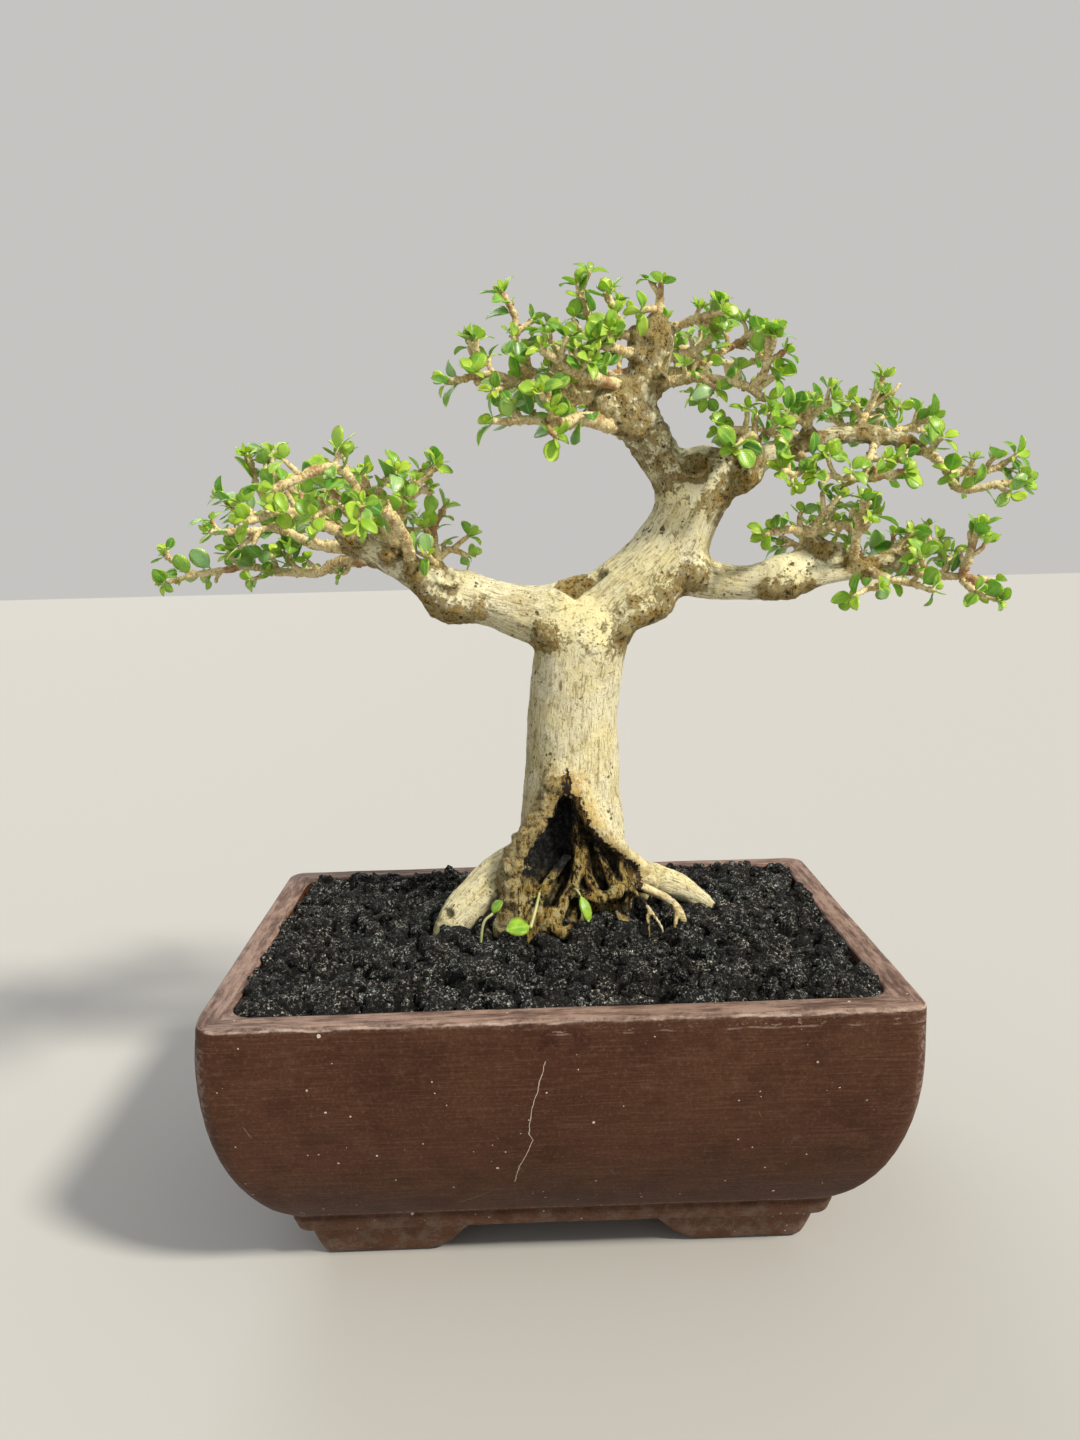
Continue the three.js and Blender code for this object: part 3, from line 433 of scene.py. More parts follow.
FOOT_LEVELS = [(0.0, 1.2), (0.35, 0.45), (1.2, 0.0)]
FOOT_LEVELS += [(height, 0) for height in (3, 5, 7, 9, 11, 13, 14.6, FOOT_HEIGHT)]
for sign_x in (-1, 1):
    for sign_y in (-1, 1):
        stack = [foot_ring(height, sign_x, sign_y, shrink) for height, shrink in FOOT_LEVELS]
        points, faces = loft(stack)
        pot_faces += [tuple(corner + len(pot_points) for corner in face) for face in faces]
        pot_points = np.vstack([pot_points, points])
print("pot with feet:", len(pot_faces), "faces")

# %% [markdown]
# Real clay is never dead straight: it warps a little while it dries, and its edges get knocked. The points
# are moved a fraction of a millimetre by wide, soft noise. The rim and the feet's soles move less, so that
# the pot still stands flat and keeps its size.

# %% Warp and wear of the clay
def warped(points):
    soft = np.column_stack([lumps(points, 60, 1), lumps(points, 60, 2), 0.4 * lumps(points, 45, 3)])
    fine = rough(points, 9, 4)[:, None] * [0.12, 0.12, 0.08]
    held = clear_step(points[:, 2], 0.0, 12.0)[:, None]
    inward = np.clip(np.abs(points) - [LENGTH / 2 - 1, DEPTH / 2 - 1, 1e9], 0, 1)
    return points + held * (0.45 * soft + fine) * (1 - 0.6 * inward)


pot_points = warped(pot_points)
worn_corner = np.array([-LENGTH / 2, -DEPTH / 2, HEIGHT])
WORN_REACH = 9
near_corner = np.exp(-((np.linalg.norm(pot_points - worn_corner, axis=1) / WORN_REACH) ** 2))
pot_points = pot_points + near_corner[:, None] * [1.6, 1.2, -1.4]
limit = np.array([LENGTH / 2, DEPTH / 2, HEIGHT])
pot_points = np.clip(pot_points, -limit, limit)

# %% [markdown]
# The clay is unglazed and dark brown, with fine strokes from a wet brush round the walls, pale dust on the
# rim and feet, white specks, and one thin light crack in front. Object coordinates put each of these where it
# belongs. The strokes are noise that is squeezed along the height and stretched along the wall. Heights in
# the material are in metres above the ground: the rim is at 0.120, and the feet end at 0.0166.

# %% The rim's marks, the smudges and the crack
CRACK = [(-6.4, 103.3), (-12.2, 83.8), (-13.6, 71.7), (-12.2, 69.2), (-17.7, 56.0), (-19.9, 47.4)]


def wiped_rim(clay, x, y):
    """Brush marks on the flat rim. They run along the wall that is nearer."""
    beyond = []
    for value, middle, half in ((x, MIDDLE_X, LENGTH / 2000), (y, MIDDLE_Y, DEPTH / 2000)):
        away = clay.math("ABSOLUTE", clay.math("SUBTRACT", value, middle))
        beyond.append(clay.math("SUBTRACT", away, half))
    marks = [clay.noise(2.2, clay.stretch(scale), detail=6, roughness=0.75)
             for scale in ((0.10, 0.7, 1.0), (0.7, 0.10, 1.0))]
    return clay.mix(clay.math("GREATER_THAN", *beyond), *marks)


def worn_lip(clay, x, z):
    """Where the rim's edge is rubbed and the wall just below it is chipped, least at the left."""
    uneven = clay.math("ADD", z, clay.ramp(clay.noise(9, detail=5), 0.3, 0.7, -0.0004, 0.0004))
    ridge = clay.times(clay.ramp(uneven, 0.1181, 0.1186), clay.ramp(uneven, 0.1194, 0.1190),
                       clay.math("GREATER_THAN", clay.read("edge"), 0.1))
    worn = clay.ramp(clay.noise(12, detail=6, roughness=0.7), 0.42, 0.58, 0.1, 0.85)
    from_groove = clay.math("ABSOLUTE", clay.math("SUBTRACT", uneven, 0.1141))
    groove = clay.ramp(from_groove, 0.0005, 0.0002, 0, 0.45)
    chips = clay.noise(1.3, clay.stretch((0.6, 0.6, 1.0)), detail=5, roughness=0.7)
    below_rim = clay.times(clay.ramp(z, 0.1141, 0.1148), clay.ramp(z, 0.1182, 0.1176))
    chips = clay.times(clay.ramp(chips, 0.55, 0.64, 0, 0.7), below_rim)
    lip = clay.times(clay.math("MAXIMUM", groove, chips), clay.times(worn, worn),
                     clay.ramp(x, MIDDLE_X - 0.05, MIDDLE_X + 0.01))
    return clay.math("MAXIMUM", lip, clay.times(ridge, worn))


def inside_box(clay, x, z, left, right, low, high, soft=0.002):
    """1 inside a box on the front, given in millimetres, with a soft and wavering edge."""
    shift = clay.ramp(clay.noise(5, detail=4), 0.2, 0.8, -0.003, 0.003)
    spans = []
    for value, start, end in ((x, MIDDLE_X + left / 1000, MIDDLE_X + right / 1000),
                              (z, low / 1000, high / 1000)):
        moved = clay.math("ADD", value, shift)
        spans.append(clay.times(clay.ramp(moved, start - soft, start + soft),
                                clay.ramp(moved, end + soft, end - soft)))
    return clay.times(*spans)


def smudges(clay, x, y, z):
    """Two dark red smudges below the rim in front."""
    left, right = (inside_box(clay, x, z, *box) for box in ((-9, -2, 108, 116), (3, 10, 107, 117)))
    front = clay.math("LESS_THAN", y, MIDDLE_Y - 0.09)
    return clay.times(clay.math("ADD", left, right), front, 0.7)


def crack_over(clay, base, x, y, z):
    """The crack: how far x is from a line of straight pieces, each over its own stretch of height."""
    wavering = clay.math("ADD", x, clay.ramp(clay.noise(5), 0.2, 0.8, -0.0005, 0.0005))
    total = 0.0
    for (x_top, z_top), (x_low, z_low) in zip(CRACK, CRACK[1:]):
        inputs = {"Value": z, "From Min": z_low / 1000, "From Max": z_top / 1000}
        inputs |= {"To Min": MIDDLE_X + x_low / 1000, "To Max": MIDDLE_X + x_top / 1000}
        line = clay.add("MapRange", inputs, clamp=False).outputs["Result"]
        gap = clay.math("ABSOLUTE", clay.math("SUBTRACT", wavering, line))
        within = clay.times(clay.math("LESS_THAN", z, z_top / 1000),
                            clay.math("GREATER_THAN", z, z_low / 1000))
        total = clay.math("ADD", total, clay.times(within, clay.ramp(gap, 0.00022, 0.00005)))
    front = clay.math("LESS_THAN", y, MIDDLE_Y - 0.06)
    return clay.mix(clay.times(total, front, 0.9), base, (0.60, 0.50, 0.42))


# %% The clay's finish
def clay_finish():
    clay = Finish("brushed_clay")
    x, y, z = clay.axes()
    # dark clay with strokes of a wet brush
    strokes = clay.noise(0.8, clay.stretch((0.04, 0.04, 1.0)), detail=5, roughness=0.65)
    wide = clay.noise(42)
    base = clay.mix(clay.ramp(wide, 0.3, 0.7), (0.056, 0.0185, 0.0075), (0.074, 0.028, 0.013))
    base = clay.layers(base, (strokes, 0.50, 0.66, 0.32, (0.140, 0.070, 0.042)),
                       (strokes, 0.46, 0.34, 0.35, (0.032, 0.010, 0.004)))
    # the wiped rim
    wiped = clay.ramp(wiped_rim(clay, x, y), 0.38, 0.60)
    mauve = clay.mix(wiped, (0.095, 0.053, 0.042), (0.32, 0.215, 0.172))
    base = clay.mix(clay.ramp(z, 0.1186, 0.1191, 0, 0.92), base, mauve)
    # dust on the feet and in patches, and rubbed edges
    low = clay.ramp(z, 0.030, 0.016)
    base = clay.mix(clay.times(low, 0.45), base, (0.175, 0.080, 0.040))
    dust = clay.times(low, clay.ramp(clay.noise(9, detail=6, roughness=0.75), 0.44, 0.62, 0, 0.60))
    patches = clay.ramp(clay.noise(30, detail=6, roughness=0.75), 0.60, 0.78, 0, 0.30)
    base = clay.mix(clay.math("ADD", dust, patches), base, (0.20, 0.145, 0.115))
    rubbed = clay.times(clay.read("edge"), clay.ramp(clay.noise(2.2, detail=6, roughness=0.75), 0.40, 0.62))
    low_or_rim = clay.math("ADD", clay.ramp(z, 0.1168, 0.1185, 0, 0.5), clay.math("LESS_THAN", z, 0.112))
    base = clay.mix(clay.times(rubbed, low_or_rim, 0.7), base, (0.42, 0.33, 0.29))
    base = clay.mix(worn_lip(clay, x, z), base, (0.46, 0.36, 0.31))
    # white specks in crowds, most of them low down, and thin scratches at three angles
    for width, most, shown in ((3.6, 0.19, 0.53), (11.0, 0.115, 0.47)):
        speck = clay.spots(width, clay.ramp(clay.noise(width * 0.8), 0.42, 0.78, 0.0, most))
        crowd = clay.math("ADD", clay.noise(24, detail=1), clay.ramp(z, 0.10, 0.02, -0.03, 0.12))
        crowd = clay.math("ADD", crowd, clay.ramp(z, 0.040, 0.028, 0.0, 0.12))
        speck = clay.times(speck, clay.math("GREATER_THAN", crowd, shown), 0.85)
        base = clay.mix(speck, base, (0.64, 0.58, 0.53))
    for turn, width in ((0.5, 0.9), (-1.1, 1.1), (1.45, 1.0)):
        turned = clay.add("VectorRotate", {"Vector": clay.place, "Axis": (0.0, 1.0, 0.0), "Angle": turn})
        scratch = clay.noise(width, clay.stretch((0.03, 0.03, 1.0), turned.outputs["Vector"]), detail=1)
        scratch = clay.times(clay.ramp(scratch, 0.74, 0.79), clay.ramp(clay.noise(16), 0.56, 0.66), 0.5)
        base = clay.mix(scratch, base, (0.22, 0.17, 0.14))
    base = clay.mix(smudges(clay, x, y, z), base, (0.040, 0.0085, 0.005))
    # the clay's own mottle, over everything but the crack
    mottle = clay.noise(1.3, detail=6, roughness=0.8)
    clouds = clay.noise(15, detail=5, roughness=0.65)
    base = clay.layers(base, (mottle, 0.50, 0.36, 0.5, (0.55, 0.50, 0.47), "MULTIPLY"),
                       (mottle, 0.53, 0.64, 0.25, (0.20, 0.125, 0.090)),
                       (clouds, 0.52, 0.38, 0.6, (0.66, 0.58, 0.52), "MULTIPLY"))
    clay.colour(crack_over(clay, base, x, y, z))
    lined = clay.relief(strokes, 0.22, under=clay.relief(mottle, 0.12))
    return clay.finish(lined, roughness=clay.ramp(wide, 0.2, 0.8, 0.5, 0.66), specular_ior_level=0.2)


# %% The pot and its drain holes
pot = make_piece("pot_body", pot_points, pot_faces, clay_finish())
DRAIN_RADIUS, DRAIN_SPACING = 7.0, 120.0
for sign in (-1, 1):
    circle = [(sign * DRAIN_SPACING / 2 + DRAIN_RADIUS * np.cos(a), DRAIN_RADIUS * np.sin(a))
              for a in np.linspace(0, 2 * np.pi, 24, endpoint=False)]
    drill = make_piece("drill", *loft([[(*spot, height) for spot in circle] for height in (10.0, 40.0)]))
    cut = pot.modifiers.new("drain", "BOOLEAN")
    cut.operation, cut.object, cut.solver = "DIFFERENCE", drill, "EXACT"
    graph = bpy.context.evaluated_depsgraph_get()
    drilled = bpy.data.meshes.new_from_object(pot.evaluated_get(graph), depsgraph=graph)
    pot.modifiers.clear()
    pot.data = drilled
    bpy.data.objects.remove(drill)
spots = np.array([vertex.co for vertex in pot.data.vertices])
spots = np.abs((spots - POT_MIDDLE) * 1000)
from_wall = np.minimum(LENGTH / 2 - spots[:, 0], DEPTH / 2 - spots[:, 1])
edge = clear_step(spots[:, 2], 117.4, 118.8) * clear_step(from_wall, 2.6, 0.9)
edge = np.maximum(edge, clear_step(spots[:, 2], 24.4, 25.6) * clear_step(spots[:, 2], 28, 26) * 0.6)
edge = np.maximum(edge, clear_step(spots[:, 0], 134, 138) * clear_step(spots[:, 1], 91, 95) * 0.7)
give(pot, "edge", edge)
seat(pot, "clay", "pot")

# %% [markdown]
# The tree's wood grew as one body, and its limbs flow into each other. Tubes joined by a Boolean would meet
# in hard creases, and metaballs can't hold a limb's exact thickness. So the wood is drawn as a field: every
# point of a grid learns how far it is from the nearest limb, negative inside. Where two limbs are close, a
# smooth minimum of their distances fills the crease, and a hollow is the same sum turned round. The skin is
# then laid where the field is zero.

# %% The limbs, as points on their middle lines: x, y, z and half thickness
LIMBS = {
    "trunk": [(10, 6, 100, 24), (10, 6, 125, 26.5), (10, 7, 148, 25.2), (10, 8, 169, 23.4),
        (10.5, 8, 192, 21.2), (11.5, 8, 218, 20.2), (14.5, 8, 241, 20.2), (17, 8, 255, 18),
        (20, 8, 262, 13)],
    "second_trunk": [(17, 8, 254, 17), (30, 8, 268, 16), (44, 9, 279, 16), (56, 10, 292, 15.6),
        (63, 10, 305, 14.7), (68, 10, 318, 14), (71, 10, 325, 11)],
    "crown_leader": [(66, 10, 314, 12.5), (56, 9, 326, 9.6), (48, 8, 337, 8.8), (42, 6, 349, 8.4),
        (43, 6, 360, 7.6), (46, 7, 369, 7.2), (48, 7, 376, 7.2), (48, 7, 379, 6.6)],
    "left_limb": [(17, 8, 256, 16), (2, 7, 263, 13.6), (-10, 6, 265.5, 12), (-24, 4, 270, 10.6),
        (-36, 2, 274, 10.8), (-45, 0, 276, 8.8), (-54, -2, 282, 7), (-64, -4, 288, 5.6),
        (-73, -6, 294, 4.7), (-82, -8, 299, 3.6)],
    "lower_right_limb": [(58, 10, 284, 12), (74, 9, 278, 8.6), (88, 8, 276, 7.8), (101, 6, 277, 8),
        (112, 5, 279, 7)],
    "lower_right_stub": [(106, 6, 281, 6.6), (120, 8, 285, 5.8), (127, 9, 288, 5.1), (131, 9, 289, 4)],
    "lower_right_arm": [(106, 4, 277, 6), (122, 3, 278, 4.4), (135, 3, 280, 4), (149, 4, 284, 3.5),
        (160, 4, 281, 2.7)],
    "upper_right_limb": [(68, 10, 317, 12), (84, 12, 324, 8.4), (93, 13, 328, 6.7), (102, 14, 332, 5.3),
        (111, 15, 335, 4.5), (121, 16, 338, 4), (135, 17, 340, 3.6), (152, 18, 340, 3.4),
        (164, 18, 336, 2.8)],
    "left_burl": [(-36, 2, 270, 7), (-43, 0, 272, 8), (-50, -1, 277, 5)],
    "crutch_knot": [(38, 6, 274, 8), (47, 5, 270, 8), (53, 3, 273, 5.5)],
}
ROOTS = {
    "left": [(-4, 5, 151, 13), (-21, 0, 146, 11), (-33, -4, 138, 10), (-42, -8, 130, 9), (-48, -11, 119, 7),
        (-50, -13, 108, 4)],
    "left_leg": [(-8, -7, 154, 7), (-15, -12, 144, 5.6), (-19, -15, 134, 5), (-21, -17, 122, 4)],
    "right": [(22, 8, 144, 12), (42, 10, 139.5, 7.4), (57, 12, 135, 6.4), (69, 14, 127, 5.2),
        (79, 14, 118, 3), (84, 14, 109, 2)],
    "back": [(10, 16, 146, 13), (7, 30, 136, 9), (3, 42, 125, 6), (0, 48, 112, 4)],
    "back_left": [(-2, 14, 143, 12), (-17, 24, 134, 8), (-28, 32, 124, 5), (-33, 36, 112, 3)],
    "back_right": [(22, 14, 143, 12), (34, 26, 134, 8), (44, 34, 124, 5), (50, 39, 112, 3)],
}
WOUND_LIPS = {
    "middle_ridge": [(10.5, -7, 182, 1.3), (11.5, -9, 168, 1.6), (12, -10, 157, 2), (10, -12, 147, 2.6),
        (5, -15, 138, 3), (1, -18, 130, 2.8), (0, -19, 120, 2.5)],
    "left_strand": [(-9, -10, 158, 1.8), (-9, -13, 149, 2.6), (-11, -16, 140, 3), (-9, -18, 131, 2.8),
        (-8, -18, 120, 2.5)],
    "slanting_strand": [(7, -9, 156, 1.6), (2, -12, 151, 2.2), (-4, -15, 144, 2.6), (-7, -17, 136, 2.4),
        (-4, -19, 127, 2.4)],
    "inner_strand": [(15, -8, 163, 1.5), (15.5, -10, 153, 2), (17, -12, 145, 2.4), (20, -13, 139, 2)],
    "right_strand": [(20, -8, 160, 1.6), (24, -10, 151, 2.4), (27, -11, 144, 2.6), (29, -12, 139, 2.2)],
    "far_right_strand": [(29, -6, 155, 1.8), (32, -8, 148, 2.4), (33, -9, 141, 2.2)],
    "right_root_foot": [(30, -4, 147, 4), (37, 0, 142, 4.5), (45, 4, 139, 4.5)],
    "lower_right_brow": [(12, -13, 141, 2.2), (18, -15, 138, 2.2), (25, -14, 139.5, 2.4),
        (33, -10, 143, 2.4)],
    "curl": [(-2, -18, 134, 2.2), (0, -21, 128, 2.3), (4, -22, 125, 2.2), (7, -21, 127.5, 1.8)],
    "leg_bark": [(-15, -14, 149, 2.2), (-16, -18, 140, 2.4), (-14, -20, 131, 2.4), (-13, -20, 121, 2)],
}
LIPS = {
    "left_lip": [(5, -10, 195, 3), (-2, -11, 180, 4), (-11.5, -11, 166, 4.6), (-17, -12, 153, 5.2)],
    "right_lip": [(9, -10, 195, 2.4), (17, -12, 177, 2.4), (28.5, -10, 163, 2.6), (36, -5, 154, 3),
        (42, 2, 147, 3.4), (48, 7, 142, 3)],
}
THIN_ROOTS = {
    "straight": [(34, -8, 142, 1.6), (38, -11, 138.5, 1.0), (43, -15, 132.5, 0.95), (47.5, -18, 126, 0.9),
        (49, -19, 121, 0.8)],
    "short": [(43, -14, 132.5, 0.9), (42, -16, 129, 0.9), (42.5, -17, 123, 0.9), (42.5, -17, 120, 0.8)],
    "forked": [(33, -4, 142, 3), (44, -6, 138.5, 2.2), (52, -9, 135, 2.0), (57, -12, 130, 1.9),
        (59, -13, 124, 1.4), (59, -13, 118, 1.2)],
    "fork_branch": [(56, -11, 131, 1.4), (55, -14, 127, 1.1), (54, -15, 120, 1.0)],
}


def unit(vector):
    """A vector with the same way and a length of one."""
    return vector / np.linalg.norm(vector)


def square_to(way, vector):
    """The part of a vector that stands square to a way, with a length of one."""
    return unit(vector - (vector @ way) * way)


def smooth_line(rows, step):
    """Rows a given step apart on a smooth curve through the given rows (Catmull-Rom)."""
    rows = np.array(rows, float)
    ends = np.vstack([2 * rows[0] - rows[1], rows, 2 * rows[-1] - rows[-2]])
    pieces = []
    for index in range(len(rows) - 1):
        a, b, c, d = ends[index:index + 4]
        count = max(round(np.linalg.norm((c - b)[:3]) / step), 1)
        t = (np.arange(count) / count)[:, None]
        pieces.append(0.5 * (2 * b + (c - a) * t + (2 * a - 5 * b + 4 * c - d) * t**2
                             + (3 * b - a - 3 * c + d) * t**3))
    return np.vstack([*pieces, rows[-1:]])


